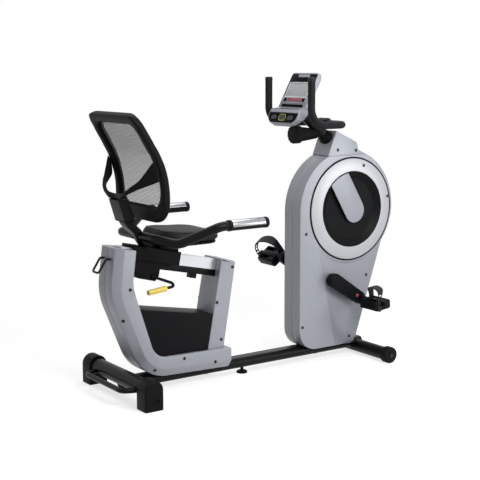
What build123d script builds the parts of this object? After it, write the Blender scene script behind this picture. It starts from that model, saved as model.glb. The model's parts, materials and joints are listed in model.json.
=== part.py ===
from build123d import *
from math import cos, radians, sin, tan
import os

# Recumbent exercise bike: a step-through frame with a sliding mesh-backed seat at the rear
# and a belt-driven crank in a tall drive housing at the front.
# Lengths are millimetres. +X points forward, +Y to the rider's left and +Z up.
# Side-view points are (x, z): x runs forward from the rear stabilizer's axis, z up from the floor.
# The model's origin lies on the floor below the middle of the bike's length.

# Clearances
seat_gap = 0.3            # between pieces that only rest near each other
running_gap = 0.05        # radial gap of a turning shaft in its bore
screw_head_radius = 4.5
screw_head_height = 1.6

# Base
beam_width = 80
beam_height = 45
beam_bottom = 30
beam_wall = 3
rear_tube_radius = 33
rear_tube_height = 80     # axis of the rear stabilizer above the floor
rear_tube_half = 222
tube_wall = 2.5
cap_width = 84
cap_height = 123
cap_length = 72
cap_round = 9
rear_half_width = 270
carry_tube_radius = 11
carry_reach = 80          # how far the carry handle's axis stands behind the rear axis
carry_half_width = 150
carry_root_half = 178
carry_bend = 35
carry_height = 68
front_axle_x = 1231
front_tube_radius = 29.5
front_tube_half = 228
front_plug = 14           # solid plug in each end of the front tube
wheel_radius = 37
wheel_width = 38
wheel_gap = 2
wheel_bolt_radius = 6
wheel_head_radius = 10
wheel_head_height = 4
bolt_head_radius = 9
bolt_head_height = 6
under_bolts = (12, 171, 409, 1005)  # x of the bolt heads under the beam
foot_x = 598
foot_pad_radius = 24
foot_pad_height = 10
foot_stem_radius = 7

# Seat base: a U-shaped cover around the rear post, with a leg at its front end
cover_half = 80
cover_wall = 3
bevel_in = 33             # how far the bevel reaches into the side face
bevel_deep = 25           # how far it reaches across the width
cover_top_rear = (-47, 620)
cover_bulge = (-72, 425)
cover_heel = (72, 69)
cover_front_low = (490, 57)
cover_front_high = (490, 146)
cover_inner_heel = (118, 153)
cover_inner_bulge = (18, 463)
cover_top_front = (37, 606)
cover_bulge_radius = 250
cover_heel_radius = 170
cover_inner_heel_radius = 78
cover_inner_bulge_radius = 150
cover_tip_radius = 7
cover_screws_at = [(5, 451), (254, 133)]
leg_half = 68
leg_low_rear = 378        # leg's rear edge where it meets the foot of the cover
leg_low_front = 459
leg_top_rear = 450
leg_top_front = 521
leg_over_rail = 6         # leg top above the rail's top
leg_corner_radius = 16
leg_screws_at = [(424, 346), (445, 184), (503, 490)]
panel_half = 66
panel_rear_height = 362
panel_front_height = 298
panel_wall = 3
post_width = 42           # steel posts inside the covers
post_half = 20
post_bend = 60
post_rear_line = [(150, 75), (45, 200), (-38, 440), (-25, 640)]
front_post_low = 409      # middle of the front post on the beam and under the rail bar
front_post_high = 466
loop_rod_radius = 4.5
loop_half_width = 25
loop_root_height = 572
loop_reach = 110          # how far the loop handle stands behind the rear axis
loop_drop = 50

# Seat rail
rail_tilt = 12            # degrees, falling towards the front
rail_datum = (284, 558)   # a point on the rail's top
rail_width = 64
rail_height = 45
rail_wall = 5
rail_groove = 7
rail_rear_x = -8
rail_front_x = 492
bar_width = 50
bar_height = 28
bar_wall = 2.5
stop_x = 342
stop_length = 30
stop_height = 20
stop_width = 32

# Seat carriage
carriage_rear_x = 43
carriage_length = 220
carriage_half = 56
carriage_roof = 6
glide_thickness = 5       # gap between rail and carriage, filled by the glides
glide_length = 44
lock_half = 46
lock_front_x = 158
lock_drop = 76            # lock housing below the rail's underside
lock_bar_gap = 3
lock_lap = 2              # lock housing's lap over the carriage
lock_chamfer = 17
lock_nose = 40
lever_pivot = (127, 486)
lever_pivot_radius = 7
lever_rod_radius = 6
lever_grip_radius = 11
lever_grip_length = 92
lever_out = 80            # grip's distance outside the lock housing
lever_elbow = (212, 452)
lever_hand = (66, 441)
lever_bend = 16
lever_grip_cap = 8

# Seat and back
seat_x = 288
seat_length = 275
seat_half_width = 145
seat_pan_thickness = 9
seat_pan_bottom = 611
seat_pan_edge = 14        # cushion's overhang past the pan
pan_block_half = 50
pan_block_front = 250
cushion_thickness = 56
cushion_corner = 88
cushion_fall = 4          # degrees, the cushion's top falls towards the front
bar_tube_radius = 19      # tube of the seat handlebar
grip_radius = 21.5
grip_start_x = 324
grip_end_x = 505
grip_cap = 7
grip_half_width = 300
grip_height = 707
bar_bend_x = 292          # end of the straight grip run
bar_dip = (150, 212, 636)
bar_corner = (92, 140, 652)  # turn into the crossing, which is welded to the back's arm
bar_bends = [60, 70, 50]  # bend radii from the grip to the crossing
arm_front_line = [(16, 812), (46, 716), (88, 680), (150, 596)]
arm_bend = 60
arm_half = 28
arm_thickness = 30
bracket_half = 42
bracket_wall = 4
bracket_top = 806
bracket_bottom = 716
bracket_rear = (8, -20)   # x of the bracket's rear edge at the bottom and the top
bracket_front = (56, 28)
back_depth = 34
back_top = (-10, 1155)
back_knee = (128, 923)
back_bottom = (128, 715)
back_knee_radius = 378
back_half_width = 200
back_taper = 12           # narrowing of each side towards the top
back_top_rail = 46
back_side_rail = 37
back_bottom_rail = 60
back_top_corner = 60
back_bottom_corner = 90
window_top_corner = 38
window_bottom_corner = 60
mesh_thickness = 3
mesh_depth = 12           # mesh behind the frame's front
yoke_thickness = 16
yoke_tip_x = 82
yoke_tip_inset = 10       # arm's tip inside the back frame's side
yoke_elbow = (-12, 0.475)   # x and share of the back's half width of the arm's bend in plan
yoke_front_x = 6
yoke_bend = 100
yoke_tip_bend = 100
yoke_waists = [(0.35, 834), (0.7, 886)]  # share of the half width and height on the arm's upper edge
yoke_rounds = [100, 80]   # at those points
yoke_fork = 827           # heights of the fork, the arm's top and bottom at the tip
yoke_tip_top = 978
yoke_tip_bottom = 888
yoke_root_half = 60
yoke_hub_half = 45

# Drive housing
housing_half = 58
housing_wall = 3
disc_centre = (1160, 686)
housing_centre = (1140, 686)
housing_radius = 268
housing_bottom = 62
housing_heel_radius = 95
housing_toe_radius = 60
housing_lean = 20         # degrees, lean of the front edge below the disc
housing_screws_at = [(905, 591), (888, 171), (1080, 956), (1185, 950)]
neck_seam = 931
neck_rear_low = 1026
neck_peak = (1071, 1042)
neck_front_high = (1191, 987)
neck_front_low = (1203, 951)
neck_front_x = 1250
facet_top = (972, 545)    # crease where the lower front of each side turns inwards
facet_bottom = (1077, 50)
facet_turn = 3            # degrees
disc_boss_radius = 246
disc_boss_depth = 15
disc_lip = 4              # boss lip inside the ring, on which the dish sits
axle_hole_radius = 14
ring_outer = 229
ring_inner = 172
ring_groove = 7           # dark gap round the ring
ring_rise = 12
ring_edge = 4
dish_depth = 20
dish_floor_radius = 140
dish_wall = 3

# Drive
crank_axis = (1045, 372)
crank_length = 172
crank_angle = -33         # right crank from forward, degrees
axle_radius = 10
axle_half = 98
shell_radius = 24         # bottom bracket shell
shell_half = 20
bearing_radius = 17
bearing_width = 8
crank_inner_y = 78
crank_thickness = 26
crank_boss_length = 12
crank_boss_radius = 33
crank_end_radius = 29
spindle_radius = 7
pedal_gap = 4
pedal_collar = 38         # hub between the crank and the pedal's plate
pedal_hub_radius = 13
pedal_width = 106
pedal_length = 88
pedal_thickness = 42
pedal_top = 12            # plate's top above the spindle
pedal_slot = 18           # openings through the plate, before and behind the hub
pedal_cap_length = 24
pedal_cap_radius = 11
right_pedal_tilt = 6      # degrees, each pedal's tilt about its spindle at rest
left_pedal_tilt = 38
right_strap_height = 62   # each strap is buckled to its own hole
left_strap_height = 86
strap_thickness = 3
# Stations along a strap: share of the half width from the inner to the outer end, share of the
# height, slope in degrees, middle ahead of the spindle and width
strap_stations = [
    (-1, 0, 90, 29, 29),
    (-1, 0.58, 90, 29, 29),
    (-0.94, 0.84, 55, 24, 38),
    (-0.6, 0.98, 14, 20, 44),
    (0, 1, 0, 14, 44),
    (0.6, 0.95, -18, 4, 38),
    (0.93, 0.78, -58, -10, 26),
    (1, 0.55, -90, -21.5, 18),
    (1, 0, -90, -21.5, 18),
]
pulley_radius = 112
pulley_width = 16
pulley_y = 32             # middle of the belt plane, to the right of the frame
pulley_flange = 6         # flange height over the belt's seat
pulley_flange_width = 1.6
pulley_holes = 5
pulley_hole_radius = 20
belt_width = 12
belt_thickness = 3
small_pulley_radius = 24
drive_post_half = 12
drive_post_width = 50
drive_post_foot = 1005
drive_post_head = (1145, 930)
flywheel_radius = 135
flywheel_width = 26
flywheel_y = 31           # middle of the flywheel, to the left of the frame
flywheel_web = 8
flywheel_rim = 34
fly_axle_radius = 9
fly_boss_radius = 20
fly_axle_right = 44       # axle's ends on each side
fly_axle_left = 46
brake_gap = 4
brake_thickness = 14
brake_width = 14
brake_start = 38          # degrees round the flywheel
brake_pivot_angle = 106
brake_pin_radius = 5
brake_boss_radius = 9

# Handlebar, mast and console
mast_radius = 24
mast_wall = 3
mast_lean = 40            # degrees above level, leaning back to the rider
mast_datum = (1063, 1005)
mast_low = 160            # length below the datum, before it is trimmed on the frame
mast_high = 265           # length above it, before it is trimmed on the console
boot_length = 26
boot_half_width = 46
boot_half_height = 31
boot_tip_radius = 26.5
grip_bar_radius = 16
grip_bar_x = 853
grip_bar_half_width = 153
grip_bar_top = 1275
crossbar = (1046, 1073)
grip_bar_bends = [75, 45, 45, 75]
clamp_radius = 25
clamp_half = 26
knob_x = 871
knob_thickness = 32
knob_radius = 40
knob_height = 1029
knob_stud_radius = 5
knob_stud_length = 40
knob_flutes = 14
knob_flute_radius = 5
cone_radius = 34
cone_tip_radius = 22
cone_end_x = 1000
console_low_front = (804, 1083)  # keypad face, from its lower to its upper edge
console_key_top = (823, 1128)
console_ledge = (833, 1141)      # ledge between the keypad and the display
console_crease = (862, 1146)
console_top_front = (942, 1296)
console_top_rear = (954, 1288)
console_rear = (954, 1266)
console_waist = (893, 1165)
console_low_rear = (880, 1130)
console_heel = (842, 1078)
console_lip = (816, 1067)
console_top_half = 94
console_crease_half = 97
console_low_half = 106
console_cheek = 1100      # height at which the sides turn into the chin
console_top_corner = 16
console_low_corner = 44
console_step_round = 4
tray_half = 78            # tray in the ledge
tray_depth = 8
tray_margin = 4
screen_width = 150
screen_height = 68
screen_rise = 2.5
key_rise = 2.5
key_pocket = 5
key_gap = 0.4
key_travel = 1.5
key_names = ["key_down", "key_enter", "key_up"]
key_pitch = 58
key_length = 40
key_width = 20

# Worked out from the sizes above
front_reach = housing_centre[0] + housing_radius
datum_x = (loop_reach - front_reach) / 2
beam_top = beam_bottom + beam_height
beam_middle = beam_bottom + beam_height / 2
tilt = radians(rail_tilt)
rail_forward = Vector(cos(tilt), 0, -sin(tilt))
mast_back = Vector(-cos(radians(mast_lean)), 0, sin(radians(mast_lean)))
carriage_top = glide_thickness + carriage_roof
bar_bottom = -rail_height - bar_height
cap_inner = rear_half_width - cap_length
wheel_y = front_tube_half + wheel_gap
cushion_bottom = seat_pan_bottom + seat_pan_thickness + seat_gap
crank_outer_y = crank_inner_y + crank_thickness
plate_inner_y = crank_outer_y + pedal_gap + pedal_collar
plate_outer_y = plate_inner_y + pedal_width
belt_y = pulley_y - pulley_width / 2
fly_inner_y = flywheel_y - flywheel_width / 2
brake_radius = flywheel_radius + brake_gap + brake_thickness / 2

os.makedirs("parts", exist_ok=True)


def at(x, y, z):
    """A point of the model from its distance ahead of the rear axis, its side and its height."""
    return Vector(datum_x + x, y, z)


def side(y):
    """A side-view sketch plane at y; an extrusion from it runs to the rider's right."""
    return Plane(origin=at(0, y, 0), x_dir=(1, 0, 0), z_dir=(0, -1, 0))


def across(x):
    """A sketch plane across the bike at x, with +Y to the right and +Z up."""
    return Plane(origin=at(x, 0, 0), x_dir=(0, 1, 0), z_dir=(1, 0, 0))


def on_rail(x, n):
    """The side-view point at x on the line that runs n above the rail's top, square to it."""
    return (x, rail_datum[1] + n / cos(tilt) - (x - rail_datum[0]) * tan(tilt))


def rail_section(x, n=0):
    """A sketch plane square to the rail, its origin n above the rail's top."""
    point = on_rail(x, n)
    return Plane(origin=at(point[0], 0, point[1]), x_dir=(0, 1, 0), z_dir=rail_forward)


def on_line(start, end, height):
    """The side-view point at a height on the line through two points."""
    share = (height - start[1]) / (end[1] - start[1])
    return (start[0] + share * (end[0] - start[0]), height)


def moved(start, end, distance):
    """The line through two side-view points, moved to the right of its direction."""
    run = Vector(end[0] - start[0], end[1] - start[1]).normalized()
    step = Vector(run.Y, -run.X) * distance
    return (start[0] + step.X, start[1] + step.Y), (end[0] + step.X, end[1] + step.Y)


def round_about(centre, radius, angle):
    """The side-view point at an angle on a circle."""
    turn = radians(angle)
    return (centre[0] + radius * cos(turn), centre[1] + radius * sin(turn))


def route(points, radius):
    """A tube's path: straight runs joined by tangent arcs."""
    with BuildLine(mode=Mode.PRIVATE) as path:
        FilletPolyline(*points, radius=radius)
    return path.line


def square_to(path):
    """The sketch plane at a path's start, square to it."""
    return Plane(origin=path @ 0, z_dir=path % 0)


def finish(piece, name):
    """Label a finished piece and write it."""
    piece.part.label = name
    export_step(piece.part, f"parts/{name}.step")


# Base: main beam, stabilizers, carry handle, wheels and foot

with BuildPart() as main_beam:
    with BuildSketch(across(0)):
        with Locations((0, beam_middle)):
            SlotOverall(beam_width, beam_height)
            SlotOverall(beam_width - 2 * beam_wall, beam_height - 2 * beam_wall, mode=Mode.SUBTRACT)
    extrude(amount=front_axle_x + front_tube_radius - beam_wall)
    with BuildSketch(side(0)):
        with Locations((0, rear_tube_height)):
            Circle(rear_tube_radius + seat_gap)
        with Locations((front_axle_x, wheel_radius)):
            Circle(front_tube_radius + seat_gap)
    extrude(amount=beam_width, both=True, mode=Mode.SUBTRACT)
    with BuildSketch(Plane(at(foot_x, 0, 0))):
        Circle(foot_stem_radius + running_gap)
    extrude(amount=beam_middle, mode=Mode.SUBTRACT)
finish(main_beam, "main_beam")

with BuildPart() as rear_stabilizer:
    with BuildSketch(side(0)):
        with Locations((0, rear_tube_height)):
            Circle(rear_tube_radius)
            Circle(rear_tube_radius - tube_wall, mode=Mode.SUBTRACT)
    extrude(amount=rear_tube_half, both=True)
finish(rear_stabilizer, "rear_stabilizer")

with BuildPart() as rear_end_caps:
    with BuildSketch(side(-cap_inner)):
        with Locations((0, cap_height - cap_width / 2)):
            Circle(cap_width / 2)
        with Locations((0, (cap_height - cap_width / 2) / 2)):
            Rectangle(cap_width, cap_height - cap_width / 2)
    extrude(amount=cap_length)
    outer_rim = rear_end_caps.faces().sort_by(Axis.Y)[0].edges()
    fillet(outer_rim.filter_by(lambda edge: edge.center().Z > 1), cap_round)
    with BuildSketch(side(-cap_inner)):
        with Locations((0, rear_tube_height)):
            Circle(rear_tube_radius + running_gap)
    extrude(amount=rear_tube_half - cap_inner + seat_gap, mode=Mode.SUBTRACT)
    mirror(about=Plane.XZ)
finish(rear_end_caps, "rear_end_caps")

with BuildPart() as carry_handle:
    carry_route = route(
        [
            at(0, -carry_root_half, carry_height),
            at(-carry_reach, -carry_half_width, carry_height),
            at(-carry_reach, carry_half_width, carry_height),
            at(0, carry_root_half, carry_height),
        ],
        carry_bend,
    )
    with BuildSketch(square_to(carry_route)):
        Circle(carry_tube_radius)
    sweep(path=carry_route)
    with BuildSketch(side(0)):
        with Locations((0, rear_tube_height)):
            Circle(rear_tube_radius + running_gap)
        with Locations((rear_tube_radius, rear_tube_height)):
            Rectangle(2 * rear_tube_radius, 4 * rear_tube_radius)
    extrude(amount=rear_half_width, both=True, mode=Mode.SUBTRACT)
finish(carry_handle, "carry_handle")

with BuildPart() as front_stabilizer:
    with BuildSketch(side(0)):
        with Locations((front_axle_x, wheel_radius)):
            Circle(front_tube_radius)
    extrude(amount=front_tube_half, both=True)
    with BuildSketch(side(0)):
        with Locations((front_axle_x, wheel_radius)):
            Circle(front_tube_radius - tube_wall)
    extrude(amount=front_tube_half - front_plug, both=True, mode=Mode.SUBTRACT)
    with BuildSketch(side(0)):
        with Locations((front_axle_x, wheel_radius)):
            Circle(wheel_bolt_radius + running_gap)
    extrude(amount=front_tube_half, both=True, mode=Mode.SUBTRACT)
finish(front_stabilizer, "front_stabilizer")

with BuildPart() as transport_wheel_right:
    with BuildSketch(side(-wheel_y)):
        with Locations((front_axle_x, wheel_radius)):
            Circle(wheel_radius)
    extrude(amount=wheel_width)
    wheel_rims = transport_wheel_right.edges().filter_by(GeomType.CIRCLE)
    fillet(wheel_rims, wheel_width / 6)
    with BuildSketch(side(-wheel_y)):
        with Locations((front_axle_x, wheel_radius)):
            Circle(wheel_bolt_radius + running_gap)
    extrude(amount=wheel_width, mode=Mode.SUBTRACT)
finish(transport_wheel_right, "transport_wheel_right")

with BuildPart() as transport_wheel_left:
    mirror(transport_wheel_right.part, about=Plane.XZ)
finish(transport_wheel_left, "transport_wheel_left")

# Bolts: one over the front tube, four heads under the beam and the two wheel bolts
with BuildPart() as base_bolts:
    with BuildSketch(Plane(at(front_axle_x, 0, beam_top))):
        RegularPolygon(bolt_head_radius, 6)
    extrude(amount=bolt_head_height)
    with BuildSketch(Plane(at(0, 0, beam_bottom))):
        for bolt_x in under_bolts:
            with Locations((bolt_x, 0)):
                RegularPolygon(bolt_head_radius, 6)
    extrude(amount=-bolt_head_height)
    with BuildSketch(side(-front_tube_half + front_plug)):
        with Locations((front_axle_x, wheel_radius)):
            Circle(wheel_bolt_radius)
    extrude(amount=front_plug + wheel_gap + wheel_width + seat_gap)
    with BuildSketch(side(-wheel_y - wheel_width - seat_gap)):
        with Locations((front_axle_x, wheel_radius)):
            Circle(wheel_head_radius)
    extrude(amount=wheel_head_height)
    wheel_bolt = base_bolts.solids().sort_by(Axis.Y)[0]
    mirror(wheel_bolt, about=Plane.XZ)
finish(base_bolts, "base_bolts")

with BuildPart() as levelling_foot:
    with BuildSketch(Plane(at(foot_x, 0, 0))):
        Circle(foot_pad_radius)
    extrude(amount=foot_pad_height)
    chamfer(levelling_foot.edges().group_by(Axis.Z)[-1], foot_pad_height / 2)
    with BuildSketch(Plane(at(foot_x, 0, 0))):
        Circle(foot_stem_radius)
    extrude(amount=beam_bottom + 3 * beam_wall)
finish(levelling_foot, "levelling_foot")

# Seat base: posts, U-shaped cover, leg, centre panel, loop handle


def leg_foot(x):
    """The side-view point at x on the top of the cover's foot, where leg and panel stand."""
    rise = (cover_front_high[1] - cover_inner_heel[1]) / (cover_front_high[0] - cover_inner_heel[0])
    return (x, cover_inner_heel[1] + rise * (x - cover_inner_heel[0]))


def front_post_outline(margin):
    """Side-view corners of the front post, widened by a margin."""
    half = post_width / 2 + margin
    return [
        (front_post_low - half, beam_top),
        (front_post_low + half, beam_top),
        on_rail(front_post_high + half, bar_bottom),
        on_rail(front_post_high - half, bar_bottom),
    ]


with BuildPart() as seat_posts:
    with BuildSketch(side(0)):
        with BuildLine():
            rear_run = FilletPolyline(*post_rear_line, radius=post_bend)
            front_run = FilletPolyline(*[(x + post_width, z) for x, z in post_rear_line], radius=post_bend)
            Line(rear_run @ 0, front_run @ 0)
            Line(rear_run @ 1, front_run @ 1)
        make_face()
        Polygon(*front_post_outline(0), align=None)
    extrude(amount=post_half, both=True)
    with BuildSketch(side(0)):
        Polygon(
            on_rail(rail_rear_x - post_width, bar_bottom),
            on_rail(rail_front_x + post_width, bar_bottom),
            on_rail(rail_front_x + post_width, rail_height),
            on_rail(rail_rear_x - post_width, rail_height),
            align=None,
        )
    extrude(amount=cover_half, both=True, mode=Mode.SUBTRACT)
finish(seat_posts, "seat_posts")


def cover_body(inset):
    """Right half of the U-shaped cover as a full body, drawn in by the inset on every face."""
    bevel_slant = (bevel_in**2 + bevel_deep**2) ** 0.5
    deep = bevel_deep + inset * bevel_slant / bevel_in
    inward = bevel_in + inset * bevel_slant / bevel_deep
    outline = [
        cover_top_rear,
        cover_bulge,
        cover_heel,
        cover_front_low,
        cover_front_high,
        cover_inner_heel,
        cover_inner_bulge,
        cover_top_front,
    ]
    radii = [
        cover_tip_radius,
        cover_bulge_radius,
        cover_heel_radius,
        cover_tip_radius,
        cover_tip_radius,
        cover_inner_heel_radius,
        cover_inner_bulge_radius,
        cover_tip_radius,
    ]
    above = on_line(cover_top_rear, cover_bulge, cover_top_rear[1] + bevel_in)
    ahead = (2 * cover_front_low[0] - cover_heel[0], 2 * cover_front_low[1] - cover_heel[1])
    with BuildPart() as body:
        with BuildSketch(side(0)):
            with BuildLine():
                FilletPolyline(*outline, radius=radii, close=True)
            make_face()
            if inset > 0:
                offset(amount=-inset)
        extrude(amount=cover_half - inset)
        edge_points = [at(x, -cover_half, z) for x, z in (above, cover_bulge, cover_heel, ahead)]
        bevel_route = route(edge_points, [cover_bulge_radius, cover_heel_radius])
        with BuildSketch(Plane(origin=bevel_route @ 0, x_dir=(0, 1, 0), z_dir=bevel_route % 0)):
            Polygon((1.2 * deep, -0.2 * inward), (-0.2 * deep, 1.2 * inward), (-deep, -inward), align=None)
        sweep(path=bevel_route, mode=Mode.SUBTRACT)
    return body.part


with BuildPart() as seat_base_cover_right:
    add(cover_body(0))
    add(cover_body(cover_wall), mode=Mode.SUBTRACT)
    with BuildSketch(across(-rear_tube_half)):
        with Locations((0, beam_top / 2)):
            Rectangle(beam_width + 2 * seat_gap, beam_top + 2 * seat_gap)
    extrude(amount=2 * cover_front_low[0], mode=Mode.SUBTRACT)
    with BuildSketch(rail_section(rail_rear_x - seat_gap)):
        with Locations((0, (rail_height + bar_bottom - 1) / 2)):
            Rectangle(rail_width + 2, rail_height - bar_bottom + 1)
    extrude(amount=cover_half, mode=Mode.SUBTRACT)
    with BuildSketch(side(0)):
        Polygon(*front_post_outline(1), align=None)
    extrude(amount=post_half + 1, both=True, mode=Mode.SUBTRACT)
finish(seat_base_cover_right, "seat_base_cover_right")

with BuildPart() as seat_base_cover_left:
    mirror(seat_base_cover_right.part, about=Plane.XZ)
finish(seat_base_cover_left, "seat_base_cover_left")


def leg_outline(inset):
    """Side-view corners of the front leg, drawn in on the rear, the front and the top."""
    low_rear = leg_foot(leg_low_rear + inset)
    low_front = leg_foot(leg_low_front - inset)
    return [
        low_rear,
        on_rail(leg_top_rear + inset, leg_over_rail - inset),
        on_rail(leg_top_front - inset, leg_over_rail - inset),
        low_front,
    ]


with BuildPart() as leg_cover:
    with BuildSketch(side(0)):
        with BuildLine():
            FilletPolyline(*leg_outline(0), radius=[0, 2, leg_corner_radius, 0], close=True)
        make_face()
    extrude(amount=leg_half, both=True)
    with BuildSketch(side(0)):
        Polygon(*leg_outline(cover_wall), align=None)
    extrude(amount=leg_half - cover_wall, both=True, mode=Mode.SUBTRACT)
    with BuildSketch(rail_section(leg_top_rear - leg_half)):
        with Locations((0, bar_bottom / 2)):
            Rectangle(rail_width + 2, 2 - bar_bottom)
    extrude(amount=(rail_front_x + 1 - leg_top_rear + leg_half) / cos(tilt), mode=Mode.SUBTRACT)
finish(leg_cover, "leg_cover")


def panel_outline(inset):
    """Side-view corners of the centre panel between the cover's leg and the front leg."""
    gap = seat_gap + inset
    rear_low, rear_high = moved(cover_inner_heel, cover_inner_bulge, gap)
    front_low, front_high = moved(leg_outline(0)[0], leg_outline(0)[1], -gap)
    return [
        on_line(rear_low, rear_high, panel_rear_height - inset),
        on_line(front_low, front_high, panel_front_height - inset),
        on_line(front_low, front_high, leg_foot(leg_low_rear)[1] + seat_gap),
        on_line(rear_low, rear_high, leg_foot(cover_inner_heel[0])[1] + seat_gap),
    ]


with BuildPart() as centre_panel:
    with BuildSketch(side(0)):
        with BuildLine():
            FilletPolyline(*panel_outline(0), radius=[0, 0, 0, cover_inner_heel_radius], close=True)
        make_face()
    extrude(amount=panel_half, both=True)
    with BuildSketch(side(0)):
        with BuildLine():
            FilletPolyline(*panel_outline(panel_wall), radius=[0, 0, 0, cover_inner_heel_radius], close=True)
        make_face()
    extrude(amount=panel_half - panel_wall, both=True, mode=Mode.SUBTRACT)
finish(centre_panel, "centre_panel")

with BuildPart() as loop_handle:
    root = on_line(cover_top_rear, cover_bulge, loop_root_height)
    lean = Vector(cover_bulge[1] - cover_top_rear[1], 0, cover_top_rear[0] - cover_bulge[0]).normalized()
    knee = (root[0] + 4 * loop_rod_radius * lean.X, root[1] + 4 * loop_rod_radius * lean.Z)
    tip = (loop_rod_radius - loop_reach, loop_root_height - loop_drop)
    loop_route = route(
        [
            at(root[0], -loop_half_width, root[1]),
            at(knee[0], -loop_half_width, knee[1]),
            at(tip[0], -loop_half_width, tip[1]),
            at(tip[0], loop_half_width, tip[1]),
            at(knee[0], loop_half_width, knee[1]),
            at(root[0], loop_half_width, root[1]),
        ],
        2.4 * loop_rod_radius,
    )
    with BuildSketch(square_to(loop_route)):
        Circle(loop_rod_radius)
    sweep(path=loop_route)
finish(loop_handle, "loop_handle")

# Seat rail: an aluminium profile on a steel bar, which also carries the front stop

with BuildPart() as seat_rail:
    with BuildSketch(rail_section(rail_rear_x, -rail_height / 2)):
        Rectangle(rail_width, rail_height)
        Rectangle(rail_width - 2 * rail_wall, rail_height - 2 * rail_wall, mode=Mode.SUBTRACT)
        with Locations((rail_width / 2, 0), (-rail_width / 2, 0)):
            Rectangle(rail_groove / 2, rail_groove, mode=Mode.SUBTRACT)
    extrude(amount=(rail_front_x - rail_rear_x) / cos(tilt))
finish(seat_rail, "seat_rail")

with BuildPart() as rail_bar:
    with BuildSketch(rail_section(rail_rear_x, bar_bottom + bar_height / 2)):
        Rectangle(bar_width, bar_height)
        Rectangle(bar_width - 2 * bar_wall, bar_height - 2 * bar_wall, mode=Mode.SUBTRACT)
    extrude(amount=(rail_front_x - rail_rear_x) / cos(tilt))
    with BuildSketch(rail_section(stop_x - stop_length / 2, bar_bottom - stop_height / 2)):
        Rectangle(stop_width, stop_height)
    extrude(amount=stop_length)
finish(rail_bar, "rail_bar")

# Seat carriage with its lock housing, glides, lever and grip

with BuildPart() as seat_carriage:
    with BuildSketch(rail_section(carriage_rear_x)):
        with Locations((0, (carriage_top - rail_height) / 2)):
            Rectangle(2 * carriage_half, carriage_top + rail_height)
    extrude(amount=carriage_length)
    with BuildSketch(side(0)):
        Polygon(
            on_rail(carriage_rear_x - lock_lap, lock_lap - rail_height),
            on_rail(carriage_rear_x - lock_lap, -rail_height - lock_drop * 0.45),
            on_rail(carriage_rear_x + lock_chamfer, 2 * lock_lap - rail_height - lock_drop),
            on_rail(lock_front_x - lock_chamfer, -rail_height - lock_drop),
            on_rail(lock_front_x, -rail_height - lock_drop * 0.7),
            on_rail(lock_front_x + 3 * lock_lap, bar_bottom + 2 * lock_lap),
            on_rail(lock_front_x + lock_nose - 3 * lock_lap, bar_bottom + 4 * lock_lap),
            on_rail(lock_front_x + lock_nose, lock_lap - rail_height),
            align=None,
        )
    extrude(amount=lock_half, both=True)
    with BuildSketch(rail_section(carriage_rear_x - carriage_half)):
        with Locations((0, (glide_thickness - rail_height - seat_gap) / 2)):
            Rectangle(rail_width + 2 * glide_thickness, rail_height + glide_thickness + seat_gap)
        with Locations((0, bar_bottom / 2 - lock_bar_gap / 2)):
            Rectangle(bar_width + 2 * lock_bar_gap, -bar_bottom + lock_bar_gap)
    extrude(amount=2 * carriage_length, mode=Mode.SUBTRACT)
    with BuildSketch(side(0)):
        with Locations(lever_pivot):
            Circle(lever_pivot_radius + running_gap)
    extrude(amount=2 * lock_half, mode=Mode.SUBTRACT)
finish(seat_carriage, "seat_carriage")

# Glide pads line the carriage's roof and cheeks at both ends
with BuildPart() as rail_glides:
    for glide_x in (carriage_rear_x, carriage_rear_x + (carriage_length - glide_length) * cos(tilt)):
        with BuildSketch(rail_section(glide_x)):
            with Locations((0, (glide_thickness + seat_gap) / 2)):
                Rectangle(rail_width * 0.6, glide_thickness - seat_gap)
            with Locations(
                ((rail_width + glide_thickness + seat_gap) / 2, -rail_height / 2),
                (-(rail_width + glide_thickness + seat_gap) / 2, -rail_height / 2),
            ):
                Rectangle(glide_thickness - seat_gap, rail_height * 0.6)
        extrude(amount=glide_length)
finish(rail_glides, "rail_glides")

with BuildPart() as adjust_lever:
    with BuildSketch(side(-lock_half + 3 * lever_pivot_radius)):
        with Locations(lever_pivot):
            Circle(lever_pivot_radius)
    extrude(amount=4 * lever_pivot_radius)
    lever_start = at(lever_pivot[0], -lock_half - lever_pivot_radius / 2, lever_pivot[1])
    lever_route = route(
        [
            lever_start,
            at(lever_elbow[0], -lock_half - 0.8 * lever_out, lever_elbow[1]),
            at(lever_hand[0], -lock_half - lever_out, lever_hand[1]),
        ],
        lever_bend,
    )
    with BuildSketch(square_to(lever_route)):
        Circle(lever_rod_radius)
    sweep(path=lever_route)
finish(adjust_lever, "adjust_lever")

with BuildPart() as lever_grip:
    hand_run = lever_route % 1
    grip_start = lever_route @ 1 - hand_run * (lever_grip_length - lever_grip_cap)
    with BuildSketch(Plane(origin=grip_start, z_dir=hand_run)):
        Circle(lever_grip_radius)
    extrude(amount=lever_grip_length)
    fillet(lever_grip.edges().filter_by(GeomType.CIRCLE), lever_grip_radius / 3)
    with BuildSketch(Plane(origin=grip_start, z_dir=hand_run)):
        Circle(lever_rod_radius + running_gap)
    extrude(amount=lever_grip_length - lever_grip_cap + running_gap, mode=Mode.SUBTRACT)
finish(lever_grip, "lever_grip")

# Seat: pan, cushion and the handlebar beside it

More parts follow.
